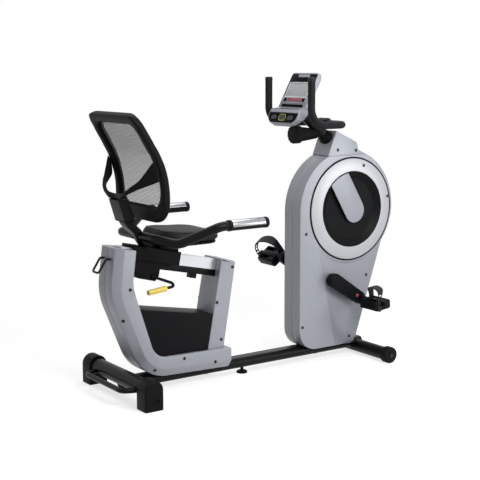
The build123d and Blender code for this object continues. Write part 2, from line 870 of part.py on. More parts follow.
with BuildPart() as seat_pan:
    with BuildSketch(Plane(at(seat_x, 0, seat_pan_bottom))):
        RectangleRounded(
            seat_length - 2 * seat_pan_edge,
            2 * (seat_half_width - seat_pan_edge),
            cushion_corner - seat_pan_edge,
        )
    extrude(amount=seat_pan_thickness)
    pan_rear_x = seat_x - seat_length / 2 + seat_pan_edge
    with BuildSketch(side(0)):
        Polygon(
            on_rail(pan_rear_x, carriage_top),
            on_rail(pan_block_front, carriage_top),
            (pan_block_front, seat_pan_bottom + seat_pan_thickness / 2),
            (pan_rear_x, seat_pan_bottom + seat_pan_thickness / 2),
            align=None,
        )
    extrude(amount=pan_block_half, both=True)
finish(seat_pan, "seat_pan")

# The cushion's sections: share of the thickness and how far each is drawn in
cushion_sections = [(0, 12), (0.3, 0), (0.62, 4), (0.88, 22), (1, 60)]
with BuildPart() as seat_cushion:
    for share, drawn_in in cushion_sections:
        fall = radians(cushion_fall * share)
        middle = at(seat_x, 0, cushion_bottom + share * cushion_thickness)
        with BuildSketch(Plane(middle, x_dir=(cos(fall), 0, -sin(fall)), z_dir=(sin(fall), 0, cos(fall)))):
            RectangleRounded(
                seat_length - 2 * drawn_in,
                2 * (seat_half_width - drawn_in),
                cushion_corner - drawn_in,
            )
    loft()
finish(seat_cushion, "seat_cushion")

with BuildPart() as seat_handlebar:
    right_half = [
        (grip_end_x, grip_half_width, grip_height),
        (bar_bend_x, grip_half_width, grip_height),
        bar_dip,
        bar_corner,
    ]
    bar_points = [at(x, -y, z) for x, y, z in right_half] + [at(x, y, z) for x, y, z in right_half[::-1]]
    bar_route = route(bar_points, bar_bends + bar_bends[::-1])
    with BuildSketch(square_to(bar_route)):
        Circle(bar_tube_radius)
        Circle(bar_tube_radius - tube_wall, mode=Mode.SUBTRACT)
    sweep(path=bar_route)
    with BuildSketch(side(0)):
        with Locations((bar_corner[0], bar_corner[2])):
            Circle(2 * bar_tube_radius)
    extrude(amount=arm_half + seat_gap, both=True, mode=Mode.SUBTRACT)
finish(seat_handlebar, "seat_handlebar")

with BuildPart() as pulse_grips:
    grip_axis = (-grip_half_width, grip_height)
    with BuildSketch(across(grip_start_x)):
        with Locations(grip_axis):
            Circle(grip_radius)
    extrude(amount=grip_end_x + grip_cap - grip_start_x)
    with BuildSketch(across(grip_start_x)):
        with Locations(grip_axis):
            Circle(bar_tube_radius + running_gap)
    extrude(amount=grip_end_x + running_gap - grip_start_x, mode=Mode.SUBTRACT)
    mirror(about=Plane.XZ)
finish(pulse_grips, "pulse_grips")

# Back: arm on the carriage, bracket, forked yoke, frame and mesh

with BuildPart() as back_arm:
    with BuildSketch(side(0)):
        with BuildLine():
            FilletPolyline(*arm_front_line, radius=arm_bend)
            offset(amount=arm_thickness, side=Side.RIGHT)
        make_face()
    extrude(amount=arm_half, both=True)
    with BuildSketch(side(0)):
        with Locations((arm_front_line[0][0], bracket_top + arm_thickness)):
            Rectangle(4 * arm_thickness, 2 * arm_thickness)
        Polygon(
            on_rail(arm_front_line[3][0] - 3 * arm_thickness, carriage_top),
            on_rail(arm_front_line[3][0] + 3 * arm_thickness, carriage_top),
            on_rail(arm_front_line[3][0] + 3 * arm_thickness, carriage_top - 3 * arm_thickness),
            on_rail(arm_front_line[3][0] - 3 * arm_thickness, carriage_top - 3 * arm_thickness),
            align=None,
        )
    extrude(amount=2 * arm_half, both=True, mode=Mode.SUBTRACT)
finish(back_arm, "back_arm")

with BuildPart() as back_bracket:
    with BuildSketch(side(0)):
        Polygon(
            (bracket_rear[0], bracket_bottom),
            (bracket_front[0], bracket_bottom),
            (bracket_front[1], bracket_top),
            (bracket_rear[1], bracket_top),
            align=None,
        )
    extrude(amount=bracket_half, both=True)
    fillet(back_bracket.edges().filter_by(lambda edge: abs(edge.tangent_at(0.5).Z) > 0.5), bracket_wall)
    with BuildSketch(side(0)):
        Polygon(
            (bracket_rear[0] + bracket_wall, bracket_bottom),
            (bracket_front[0] - bracket_wall, bracket_bottom),
            (bracket_front[1] - bracket_wall, bracket_top),
            (bracket_rear[1] + bracket_wall, bracket_top),
            align=None,
        )
    extrude(amount=bracket_half - bracket_wall, both=True, mode=Mode.SUBTRACT)
finish(back_bracket, "back_bracket")


def back_layer(depth):
    """The back's curved layer, from its front face to a depth, wider than the back."""
    with BuildPart() as layer:
        with BuildSketch(side(0)):
            with BuildLine():
                FilletPolyline(back_top, back_knee, back_bottom, radius=back_knee_radius)
                offset(amount=depth, side=Side.RIGHT)
            make_face()
        extrude(amount=1.2 * back_half_width, both=True)
    return layer.part


def back_window(margin):
    """The window inside the back frame, seen from the front, drawn in by a margin."""
    half = back_half_width - back_side_rail - margin
    top_half = back_half_width - back_taper - back_side_rail - margin
    high = back_top[1] - back_top_rail - margin
    low = back_bottom[1] + back_bottom_rail + margin
    with BuildPart() as window:
        with BuildSketch(across(back_top[0] - 3 * back_depth)):
            with BuildLine():
                FilletPolyline(
                    (-top_half, high),
                    (top_half, high),
                    (half, back_knee[1]),
                    (half, low),
                    (-half, low),
                    (-half, back_knee[1]),
                    radius=[
                        window_top_corner,
                        window_top_corner,
                        back_half_width,
                        window_bottom_corner,
                        window_bottom_corner,
                        back_half_width,
                    ],
                    close=True,
                )
            make_face()
        extrude(amount=2 * back_half_width)
    return window.part


with BuildPart() as back_frame:
    with BuildSketch(across(back_top[0] - 3 * back_depth)):
        with BuildLine():
            FilletPolyline(
                (back_taper - back_half_width, back_top[1]),
                (back_half_width - back_taper, back_top[1]),
                (back_half_width, back_knee[1]),
                (back_half_width, back_bottom[1]),
                (-back_half_width, back_bottom[1]),
                (-back_half_width, back_knee[1]),
                radius=[
                    back_top_corner,
                    back_top_corner,
                    2 * back_half_width,
                    back_bottom_corner,
                    back_bottom_corner,
                    2 * back_half_width,
                ],
                close=True,
            )
        make_face()
    extrude(amount=2 * back_half_width)
    add(back_layer(back_depth), mode=Mode.INTERSECT)
    add(back_window(0), mode=Mode.SUBTRACT)
finish(back_frame, "back_frame")

with BuildPart() as back_mesh:
    add(back_layer(mesh_depth + mesh_thickness))
    add(back_layer(mesh_depth), mode=Mode.SUBTRACT)
    add(back_window(seat_gap), mode=Mode.INTERSECT)
finish(back_mesh, "back_mesh")

yoke_tip_half = back_half_width - yoke_tip_inset
yoke_edge = [(share * back_half_width, height) for share, height in yoke_waists]
yoke_foot = bracket_top + seat_gap
with BuildPart() as back_yoke:
    with BuildSketch(across(back_top[0] - 3 * back_depth)):
        with BuildLine():
            FilletPolyline(
                (0, yoke_fork),
                *yoke_edge,
                (yoke_tip_half, yoke_tip_top),
                (back_half_width, yoke_tip_top),
                (back_half_width, yoke_tip_bottom),
                (yoke_root_half, yoke_foot + yoke_thickness / 2),
                (yoke_hub_half, yoke_foot),
                (0, yoke_foot),
                radius=[0, *yoke_rounds, 0, 0, 0, 0, 0, 0],
                close=True,
            )
        make_face()
        mirror(about=Plane.YZ)
    extrude(amount=2 * back_half_width)
    with BuildSketch(Plane(at(0, 0, bracket_bottom))):
        with BuildLine():
            FilletPolyline(
                (yoke_tip_x, yoke_tip_half),
                (yoke_elbow[0], yoke_elbow[1] * back_half_width),
                (yoke_front_x, 0),
                (yoke_elbow[0], -yoke_elbow[1] * back_half_width),
                (yoke_tip_x, -yoke_tip_half),
                radius=[yoke_tip_bend, yoke_bend, yoke_tip_bend],
            )
            offset(amount=yoke_thickness, side=Side.RIGHT)
        make_face()
    extrude(amount=2 * back_half_width, mode=Mode.INTERSECT)
    add(back_layer(back_depth + seat_gap), mode=Mode.SUBTRACT)
finish(back_yoke, "back_yoke")


# Drive housing: two covers, neck, rings and dishes


def round_disc(r_profile, y_start):
    """A piece turned about the disc's axis from (radius, outward distance) points, on the right side."""
    axis_point = at(disc_centre[0], -y_start, disc_centre[1])
    with BuildPart() as turned:
        with BuildSketch(Plane(axis_point, x_dir=(1, 0, 0), z_dir=(0, 0, 1))):
            Polygon(*[(radius, -outward) for radius, outward in r_profile], align=None)
        revolve(axis=Axis(axis_point, (0, 1, 0)))
    return turned.part


def housing_body(inset):
    """Right half of the drive housing as a full body, drawn in by the inset on every face."""
    tangent = round_about(housing_centre, housing_radius, -housing_lean)
    toe_x = tangent[0] - (tangent[1] - housing_bottom) * tan(radians(housing_lean))
    crease_run = Vector(facet_top[0] - facet_bottom[0], 0, facet_top[1] - facet_bottom[1])
    crease = crease_run.normalized()
    turn = radians(facet_turn)
    outward = Vector(crease.Z, 0, -crease.X) * sin(turn) + Vector(0, -cos(turn), 0)
    corner = at(facet_bottom[0], inset - housing_half, facet_bottom[1])
    with BuildPart() as body:
        with BuildSketch(side(0)):
            with BuildLine():
                FilletPolyline(
                    (housing_centre[0] - housing_radius, housing_centre[1]),
                    (housing_centre[0] - housing_radius, housing_bottom),
                    (toe_x, housing_bottom),
                    tangent,
                    radius=[housing_heel_radius, housing_toe_radius],
                )
                CenterArc(housing_centre, housing_radius, -housing_lean, 180 + housing_lean)
            make_face()
            if inset > 0:
                offset(amount=-inset)
        extrude(amount=housing_half - inset)
        with BuildSketch(Plane(corner, x_dir=crease, z_dir=outward)):
            with Locations((crease_run.length / 2, -housing_radius)):
                Rectangle(crease_run.length, 2 * housing_radius)
        extrude(amount=housing_half, mode=Mode.SUBTRACT)
    return body.part


with BuildPart() as drive_cover_right:
    add(housing_body(0))
    add(housing_body(housing_wall), mode=Mode.SUBTRACT)
    with BuildSketch(side(disc_boss_depth - housing_half)):
        with Locations(disc_centre):
            Circle(disc_boss_radius)
    extrude(amount=disc_boss_depth)
    with BuildSketch(side(0)):
        with Locations(disc_centre):
            Circle(ring_inner - disc_lip)
        with Locations(crank_axis):
            Circle(axle_hole_radius)
        with Locations((housing_centre[0], neck_seam + housing_radius)):
            Rectangle(2 * housing_radius, 2 * housing_radius)
    extrude(amount=2 * housing_half, mode=Mode.SUBTRACT)
    with BuildSketch(side(ring_groove / 4 - housing_half)):
        with Locations(disc_centre):
            Circle(ring_outer + ring_groove)
            Circle(ring_outer, mode=Mode.SUBTRACT)
    extrude(amount=housing_half, mode=Mode.SUBTRACT)
    with BuildSketch(across(housing_centre[0] - 2 * housing_radius)):
        with Locations((0, beam_top / 2)):
            Rectangle(beam_width + 2 * seat_gap, beam_top + 2 * seat_gap)
    extrude(amount=4 * housing_radius, mode=Mode.SUBTRACT)
finish(drive_cover_right, "drive_cover_right")

with BuildPart() as drive_cover_left:
    mirror(drive_cover_right.part, about=Plane.XZ)
finish(drive_cover_left, "drive_cover_left")

with BuildPart() as cover_rings:
    add(
        round_disc(
            [(ring_inner, 0), (ring_outer, 0), (ring_outer, ring_edge), (ring_inner, ring_rise)],
            housing_half,
        )
    )
    mirror(about=Plane.XZ)
finish(cover_rings, "cover_rings")

with BuildPart() as cover_dishes:
    add(
        round_disc(
            [
                (0, ring_rise - dish_depth - dish_wall),
                (dish_floor_radius, ring_rise - dish_depth - dish_wall),
                (ring_inner - disc_lip - seat_gap, 0),
                (ring_inner - seat_gap, 0),
                (ring_inner - seat_gap, ring_rise),
                (ring_inner - disc_lip, ring_rise),
                (dish_floor_radius, ring_rise - dish_depth),
                (0, ring_rise - dish_depth),
            ],
            housing_half,
        )
    )
    mirror(about=Plane.XZ)
finish(cover_dishes, "cover_dishes")

# Frame inside the housing, with the bearings of the crank and the flywheel

with BuildPart() as drive_frame:
    with BuildSketch(side(0)):
        Polygon(
            (drive_post_foot - drive_post_width / 2, beam_top),
            (drive_post_foot + drive_post_width / 2, beam_top),
            (drive_post_head[0] + drive_post_width / 2, drive_post_head[1]),
            (drive_post_head[0] - drive_post_width / 2, drive_post_head[1]),
            align=None,
        )
        with Locations((disc_centre[0] - drive_post_width / 2, disc_centre[1])):
            Rectangle(drive_post_width, 2 * fly_boss_radius)
        with Locations(disc_centre):
            Circle(fly_boss_radius)
    extrude(amount=drive_post_half, both=True)
    with BuildSketch(side(0)):
        with Locations(crank_axis):
            Circle(shell_radius)
    extrude(amount=shell_half, both=True)
    with BuildSketch(side(0)):
        with Locations(crank_axis):
            Circle(bearing_radius + running_gap)
        with Locations(disc_centre):
            Circle(fly_axle_radius + running_gap)
    extrude(amount=shell_half, both=True, mode=Mode.SUBTRACT)
    with BuildSketch(side(0)):
        with Locations(round_about(disc_centre, brake_radius, brake_pivot_angle)):
            Circle(brake_pin_radius)
    extrude(amount=-fly_inner_y - flywheel_width - 2)
finish(drive_frame, "drive_frame")

with BuildPart() as crank_bearings:
    with BuildSketch(side(bearing_width - shell_half)):
        with Locations(crank_axis):
            Circle(bearing_radius)
            Circle(axle_radius + running_gap, mode=Mode.SUBTRACT)
    extrude(amount=bearing_width)
    mirror(about=Plane.XZ)
finish(crank_bearings, "crank_bearings")

with BuildPart() as crank_axle:
    with BuildSketch(side(0)):
        with Locations(crank_axis):
            Circle(axle_radius)
    extrude(amount=axle_half, both=True)
finish(crank_axle, "crank_axle")


def crank_arm(angle):
    """A crank on the right side at an angle from forward, with its pedal spindle."""
    pedal_point = round_about(crank_axis, crank_length, angle)
    with BuildPart() as arm:
        with BuildSketch(side(-crank_inner_y)):
            with Locations(crank_axis):
                Circle(crank_boss_radius)
            with Locations(pedal_point):
                Circle(crank_end_radius)
            make_hull()
        extrude(amount=crank_thickness)
        outer_rim = arm.faces().sort_by(Axis.Y)[0].edges()
        fillet(outer_rim, crank_thickness / 4)
        with BuildSketch(side(crank_boss_length - crank_inner_y)):
            with Locations(crank_axis):
                Circle(crank_boss_radius - 2)
        extrude(amount=crank_boss_length)
        with BuildSketch(side(0)):
            with Locations(crank_axis):
                Circle(axle_radius + running_gap)
        extrude(amount=axle_half + running_gap, mode=Mode.SUBTRACT)
        with BuildSketch(side(-crank_outer_y)):
            with Locations(pedal_point):
                Circle(spindle_radius)
        extrude(amount=plate_outer_y - crank_outer_y)
    return arm.part


with BuildPart() as crank_right:
    add(crank_arm(crank_angle))
finish(crank_right, "crank_right")

with BuildPart() as crank_left:
    mirror(crank_arm(crank_angle + 180), about=Plane.XZ)
finish(crank_left, "crank_left")

with BuildPart() as crank_pulley:
    with BuildSketch(side(-belt_y)):
        with Locations(crank_axis):
            Circle(pulley_radius)
    extrude(amount=pulley_width)
    with BuildSketch(side(-belt_y), side(pulley_flange_width - belt_y - pulley_width)):
        with Locations(crank_axis):
            Circle(pulley_radius + pulley_flange)
    extrude(amount=pulley_flange_width)
    with BuildSketch(side(0)):
        with Locations(crank_axis):
            Circle(axle_radius + running_gap)
            with PolarLocations(pulley_radius * 0.58, pulley_holes):
                Circle(pulley_hole_radius)
    extrude(amount=2 * pulley_y, mode=Mode.SUBTRACT)
finish(crank_pulley, "crank_pulley")

with BuildPart() as flywheel_axle:
    with BuildSketch(side(fly_axle_left)):
        with Locations(disc_centre):
            Circle(fly_axle_radius)
    extrude(amount=fly_axle_left + fly_axle_right)
    with BuildSketch(side(-belt_y)):
        with Locations(disc_centre):
            Circle(small_pulley_radius)
    extrude(amount=pulley_width)
    with BuildSketch(side(-belt_y), side(pulley_flange_width - belt_y - pulley_width)):
        with Locations(disc_centre):
            Circle(small_pulley_radius + pulley_flange)
    extrude(amount=pulley_flange_width)
finish(flywheel_axle, "flywheel_axle")


def belt_loop(offset_radius):
    """The belt plane's outline round both pulleys, as a thin full body."""
    with BuildPart() as loop:
        with BuildSketch(side(belt_width / 2 - pulley_y)):
            with Locations(crank_axis):
                Circle(pulley_radius + offset_radius)
            with Locations(disc_centre):
                Circle(small_pulley_radius + offset_radius)
            make_hull()
        extrude(amount=belt_width)
    return loop.part


with BuildPart() as drive_belt:
    add(belt_loop(seat_gap + belt_thickness))
    add(belt_loop(seat_gap), mode=Mode.SUBTRACT)
finish(drive_belt, "drive_belt")

with BuildPart() as flywheel:
    with BuildSketch(side(fly_inner_y)):
        with Locations(disc_centre):
            Circle(flywheel_radius)
            Circle(flywheel_radius - flywheel_rim, mode=Mode.SUBTRACT)
            Circle(fly_boss_radius)
    extrude(amount=-flywheel_width)
    with BuildSketch(side(flywheel_y - flywheel_web / 2)):
        with Locations(disc_centre):
            Circle(flywheel_radius - flywheel_rim / 2)
    extrude(amount=-flywheel_web)
    with BuildSketch(side(0)):
        with Locations(disc_centre):
            Circle(fly_axle_radius + running_gap)
    extrude(amount=-2 * flywheel_y, mode=Mode.SUBTRACT)
finish(flywheel, "flywheel")

with BuildPart() as brake_arm:
    with BuildSketch(side(flywheel_y - brake_width / 2)):
        with BuildLine():
            for shoe_radius in (brake_radius - brake_thickness / 2, brake_radius + brake_thickness / 2):
                CenterArc(disc_centre, shoe_radius, brake_start, brake_pivot_angle - brake_start)
            for end_angle in (brake_start, brake_pivot_angle):
                Line(
                    round_about(disc_centre, brake_radius - brake_thickness / 2, end_angle),
                    round_about(disc_centre, brake_radius + brake_thickness / 2, end_angle),
                )
        make_face()
        with Locations(round_about(disc_centre, brake_radius, brake_pivot_angle)):
            Circle(brake_boss_radius)
            Circle(brake_pin_radius + running_gap, mode=Mode.SUBTRACT)
    extrude(amount=-brake_width)
finish(brake_arm, "brake_arm")

# Pedals with their straps


def pedal_plane(angle, tilt_angle, y):
    """The side-view plane of a right pedal at y, turned to the pedal's tilt."""
    point = round_about(crank_axis, crank_length, angle)
    run = (cos(radians(tilt_angle)), 0, sin(radians(tilt_angle)))
    return Plane(at(point[0], -y, point[1]), x_dir=run, z_dir=(0, -1, 0))


def pedal_body(angle, tilt_angle):
    """A right pedal: hub, slotted plate and end cap."""
    with BuildPart() as pedal:
        with BuildSketch(pedal_plane(angle, tilt_angle, plate_inner_y)):
            with Locations((0, pedal_top - pedal_thickness / 2)):
                RectangleRounded(pedal_length, pedal_thickness, pedal_thickness / 4)
        extrude(amount=pedal_width)
        plate_middle = pedal_plane(angle, tilt_angle, plate_inner_y + pedal_width / 2)
        slot_x = (pedal_hub_radius + pedal_length / 2 - pedal_thickness / 4) / 2
        with BuildSketch(Plane(plate_middle.origin, x_dir=plate_middle.x_dir, z_dir=plate_middle.y_dir)):
            with Locations((slot_x, 0), (-slot_x, 0)):
                RectangleRounded(pedal_slot, pedal_width - pedal_slot, pedal_slot / 4)
        extrude(amount=pedal_thickness, both=True, mode=Mode.SUBTRACT)
        with BuildSketch(pedal_plane(angle, tilt_angle, crank_outer_y + pedal_gap)):
            Circle(pedal_hub_radius)
        extrude(amount=pedal_collar + pedal_width)
        with BuildSketch(pedal_plane(angle, tilt_angle, plate_outer_y)):
            Circle(pedal_cap_radius)
        extrude(amount=pedal_cap_length)
        fillet(pedal.faces().sort_by(Axis.Y)[0].edges(), pedal_cap_radius / 2)
        with BuildSketch(pedal_plane(angle, tilt_angle, crank_outer_y)):
            Circle(spindle_radius + running_gap)
        extrude(amount=plate_outer_y - crank_outer_y + pedal_gap, mode=Mode.SUBTRACT)
    return pedal.part


def strap_body(angle, tilt_angle, height):
    """A right pedal's strap, arched over the foot from the plate's inner to its outer end."""
    base = pedal_plane(angle, tilt_angle, (plate_inner_y + plate_outer_y) / 2)
    half = pedal_width / 2 + seat_gap + strap_thickness / 2
    foot = pedal_top - pedal_thickness - strap_thickness
    with BuildPart() as strap:
        for spread, rise, slope, ahead, width in strap_stations:
            lift = foot + rise * (height - foot)
            middle = base.origin + base.x_dir * ahead + base.y_dir * lift + base.z_dir * spread * half
            run = base.z_dir * cos(radians(slope)) + base.y_dir * sin(radians(slope))
            with BuildSketch(Plane(middle, x_dir=base.x_dir, z_dir=run)):
                Rectangle(width, strap_thickness)
        loft(ruled=True)
    return strap.part


with BuildPart() as pedal_right:
    add(pedal_body(crank_angle, right_pedal_tilt))
finish(pedal_right, "pedal_right")

with BuildPart() as pedal_left:
    mirror(pedal_body(crank_angle + 180, left_pedal_tilt), about=Plane.XZ)
finish(pedal_left, "pedal_left")

with BuildPart() as strap_right:
    add(strap_body(crank_angle, right_pedal_tilt, right_strap_height))
finish(strap_right, "strap_right")

with BuildPart() as strap_left:
    mirror(strap_body(crank_angle + 180, left_pedal_tilt, left_strap_height), about=Plane.XZ)
finish(strap_left, "strap_left")

# Console, mast and handlebar


def mast_tube(radius):
    """A cylinder along the mast's axis, longer than the mast."""
    with BuildPart() as tube:
        with BuildSketch(Plane(at(mast_datum[0], 0, mast_datum[1]) - mast_back * mast_low, z_dir=mast_back)):
            Circle(radius)
        extrude(amount=mast_low + mast_high)
    return tube.part


console_outline = [
    console_low_front,
    console_key_top,
    console_ledge,
    console_crease,
    console_top_front,
    console_top_rear,
    console_rear,
    console_waist,
    console_low_rear,
    console_heel,
    console_lip,
]


def console_face(low, high):
    """The sketch plane in the middle of a console face, +X to the rider's left and +Y up the face."""
    rise = Vector(high[0] - low[0], 0, high[1] - low[1]).normalized()
    middle = at((low[0] + high[0]) / 2, 0, (low[1] + high[1]) / 2)
    return Plane(middle, x_dir=(0, -1, 0), z_dir=Vector(-rise.Z, 0, rise.X))


key_face = console_face(console_low_front, console_key_top)
screen_face = console_face(console_crease, console_top_front)

with BuildPart() as console_shell:
    with BuildSketch(side(0)):
        Polygon(*console_outline, align=None)
    extrude(amount=console_low_half, both=True)
    with BuildSketch(across(console_low_front[0])):
        with BuildLine():
            FilletPolyline(
                (-console_top_half, console_top_front[1]),
                (console_top_half, console_top_front[1]),
                (console_crease_half, console_crease[1]),
                (console_low_half, console_ledge[1]),
                (console_low_half, console_cheek),
                (console_low_half - console_low_corner, console_lip[1]),
                (console_low_corner - console_low_half, console_lip[1]),
                (-console_low_half, console_cheek),
                (-console_low_half, console_ledge[1]),
                (-console_crease_half, console_crease[1]),
                radius=[
                    console_top_corner,
                    console_top_corner,
                    console_step_round,
                    console_step_round,
                    console_top_corner,
                    console_low_corner,
                    console_low_corner,
                    console_top_corner,
                    console_step_round,
                    console_step_round,
                ],
                close=True,
            )
        make_face()
    extrude(amount=2 * console_low_half, mode=Mode.INTERSECT)
    with BuildSketch(key_face):
        with GridLocations(key_pitch, 0, len(key_names), 1):
            SlotOverall(key_length + 2 * key_gap, key_width + 2 * key_gap)
    extrude(amount=-key_pocket, mode=Mode.SUBTRACT)
    with BuildSketch(side(0)):
        Polygon(
            (console_ledge[0] + tray_margin, console_crease[1]),
            (console_ledge[0] + tray_margin, console_ledge[1] - tray_depth),
            (console_crease[0], console_ledge[1] - tray_depth),
            (console_crease[0], console_crease[1]),
            align=None,
        )
    extrude(amount=tray_half, both=True, mode=Mode.SUBTRACT)
finish(console_shell, "console_shell")

with BuildPart() as console_screen:
    with BuildSketch(screen_face):
        RectangleRounded(screen_width, screen_height, screen_rise)
    extrude(amount=screen_rise)
finish(console_screen, "console_screen")

for place, key_name in enumerate(key_names):
    with BuildPart() as key:
        with BuildSketch(key_face.offset(2 * key_gap + key_travel - key_pocket)):
            with Locations((key_pitch * (place - 1), 0)):
                SlotOverall(key_length, key_width)
        extrude(amount=key_pocket + key_rise - 2 * key_gap - key_travel)
    finish(key, key_name)

with BuildPart() as mast:
    add(mast_tube(mast_radius))
    with BuildSketch(side(0)):
        with Locations(crossbar):
            Circle(clamp_radius)
    extrude(amount=clamp_half, both=True)
    add(mast_tube(mast_radius - mast_wall), mode=Mode.SUBTRACT)
    with BuildSketch(side(0)):
        with Locations(crossbar):
            Circle(grip_bar_radius + running_gap)
        with Locations((drive_post_head[0], drive_post_head[1] - mast_low)):
            Rectangle(4 * mast_low, 2 * mast_low)
        Polygon(
            console_rear,
            console_waist,
            console_low_rear,
            console_heel,
            (console_heel[0] - mast_high, console_heel[1]),
            (console_rear[0] - mast_high, console_rear[1]),
            align=None,
        )
    extrude(amount=2 * clamp_half, both=True, mode=Mode.SUBTRACT)
finish(mast, "mast")

neck_outline = [
    (neck_rear_low, neck_seam),
    neck_peak,
    neck_front_high,
    neck_front_low,
    (neck_front_x, neck_seam),
]
with BuildPart() as neck_cover:
    with BuildSketch(side(0)):
        Polygon(*neck_outline, align=None)
    extrude(amount=housing_half, both=True)
    with BuildSketch(side(0)):
        Polygon(*neck_outline, align=None)
        offset(amount=-housing_wall)
        with Locations(((neck_rear_low + neck_front_x) / 2, neck_seam)):
            Rectangle(neck_front_low[0] - neck_rear_low - 4 * housing_wall, 4 * housing_wall)
    extrude(amount=housing_half - housing_wall, both=True, mode=Mode.SUBTRACT)
    add(mast_tube(mast_radius + 2 * seat_gap), mode=Mode.SUBTRACT)
finish(neck_cover, "neck_cover")

# Boot: an oval on the neck's rear face, drawn in to the mast
face_run = Vector(neck_peak[0] - neck_rear_low, 0, neck_peak[1] - neck_seam).normalized()
face_normal = Vector(-face_run.Z, 0, face_run.X)
face_point = at(neck_peak[0], 0, neck_peak[1])
mast_point = at(mast_datum[0], 0, mast_datum[1])
mast_exit = mast_point + mast_back * ((face_point - mast_point).dot(face_normal) / mast_back.dot(face_normal))
with BuildPart() as mast_boot:
    with BuildSketch(Plane(mast_exit + face_normal * seat_gap, x_dir=(0, 1, 0), z_dir=face_normal)):
        Ellipse(boot_half_width, boot_half_height)
    with BuildSketch(Plane(mast_exit + mast_back * boot_length, x_dir=(0, 1, 0), z_dir=mast_back)):
        Ellipse(boot_tip_radius, boot_tip_radius - 0.2)
    loft()
    add(mast_tube(mast_radius + seat_gap), mode=Mode.SUBTRACT)
finish(mast_boot, "mast_boot")

with BuildPart() as handlebar:
    for radius, top, way in (
        (grip_bar_radius, grip_bar_top, Mode.ADD),
        (grip_bar_radius - tube_wall, grip_bar_top - grip_bar_radius, Mode.SUBTRACT),
    ):
        grip_route = route(
            [
                at(grip_bar_x, -grip_bar_half_width, top),
                at(grip_bar_x, -grip_bar_half_width, crossbar[1]),
                at(crossbar[0], -grip_bar_half_width, crossbar[1]),
                at(crossbar[0], grip_bar_half_width, crossbar[1]),
                at(grip_bar_x, grip_bar_half_width, crossbar[1]),
                at(grip_bar_x, grip_bar_half_width, top),
            ],
            grip_bar_bends,
        )
        with BuildSketch(square_to(grip_route)):
            Circle(radius)
        sweep(path=grip_route, mode=way)
finish(handlebar, "handlebar")

knob_front_x = knob_x + knob_thickness
with BuildPart() as clamp_cover:
    with BuildSketch(across(knob_front_x + seat_gap)):
        with Locations((0, knob_height)):
            Circle(cone_radius)
    with BuildSketch(across(cone_end_x)):
        with Locations((0, knob_height)):
            Circle(cone_tip_radius)
    loft()
    with BuildSketch(across(knob_front_x)):
        with Locations((0, knob_height)):
            Circle(knob_stud_radius + running_gap)
    extrude(amount=knob_stud_length + seat_gap, mode=Mode.SUBTRACT)
    add(mast_tube(mast_radius + seat_gap), mode=Mode.SUBTRACT)
finish(clamp_cover, "clamp_cover")

with BuildPart() as clamp_knob:
    with BuildSketch(across(knob_x)):
        with Locations((0, knob_height)):
            Circle(knob_radius)
            with PolarLocations(knob_radius + knob_flute_radius / 2, knob_flutes):
                Circle(knob_flute_radius, mode=Mode.SUBTRACT)
    extrude(amount=knob_thickness)
    with BuildSketch(across(knob_front_x)):
        with Locations((0, knob_height)):
            Circle(knob_stud_radius)
    extrude(amount=knob_stud_length)
finish(clamp_knob, "clamp_knob")

# Cover screws on the flat sides of the seat base, the housing and the neck
with BuildPart() as cover_screws:
    for half, places in (
        (cover_half, cover_screws_at),
        (leg_half, leg_screws_at),
        (housing_half, housing_screws_at),
    ):
        with BuildSketch(side(-half)):
            with Locations(*places):
                Circle(screw_head_radius)
        extrude(amount=screw_head_height)
    mirror(about=Plane.XZ)
finish(cover_screws, "cover_screws")
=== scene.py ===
# %% [markdown]
# A recumbent exercise bike, dressed on its engineering model.
# The engineering model gives every piece its place and its joints, so this lesson only
# adds what the eye looks for: eased edges, soft goods, small trim and real finishes.
# Each cell makes one thing and prints what it made.

# %% Load the engineering model
import json
from math import cos, pi, radians, sin

import bmesh
import bpy
from mathutils import Matrix, Vector


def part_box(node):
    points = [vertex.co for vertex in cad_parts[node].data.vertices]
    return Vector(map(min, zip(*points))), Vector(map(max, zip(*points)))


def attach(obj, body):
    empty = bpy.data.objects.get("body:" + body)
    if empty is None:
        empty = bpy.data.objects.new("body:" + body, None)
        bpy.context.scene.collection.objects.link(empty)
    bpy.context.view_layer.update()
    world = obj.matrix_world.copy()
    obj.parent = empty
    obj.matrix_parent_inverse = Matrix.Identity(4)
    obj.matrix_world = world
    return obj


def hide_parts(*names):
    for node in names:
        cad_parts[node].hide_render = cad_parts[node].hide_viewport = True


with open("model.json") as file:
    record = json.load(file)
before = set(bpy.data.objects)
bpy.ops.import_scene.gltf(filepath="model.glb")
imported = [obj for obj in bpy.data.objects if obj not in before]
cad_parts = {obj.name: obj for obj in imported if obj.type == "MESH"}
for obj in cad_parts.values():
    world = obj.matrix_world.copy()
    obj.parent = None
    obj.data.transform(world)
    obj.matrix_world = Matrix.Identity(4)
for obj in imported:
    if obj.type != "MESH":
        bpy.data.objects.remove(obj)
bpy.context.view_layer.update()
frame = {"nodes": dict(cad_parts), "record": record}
nodes = frame["nodes"]

# %% [markdown]
# The side view of the bike was drawn in millimetres, measured forward from the rear
# stabilizer. One small function turns such a point into the model's metres, so that the
# sizes below can be read as a maker would measure them.

# %% Millimetres of the side view to metres of the model
REAR_AXIS_X = 649


def at(x, y, z):
    """A point from its distance ahead of the rear axis, its side and its height, in mm."""
    return Vector((x - REAR_AXIS_X, y, z)) / 1000


print("crank axis", tuple(at(1045, 0, 372)))

# %% [markdown]
# A product photographer stands a few metres off with a long lens, so that the bike keeps its
# proportions. The camera is set up from where it stood, the way it looked and its lens.

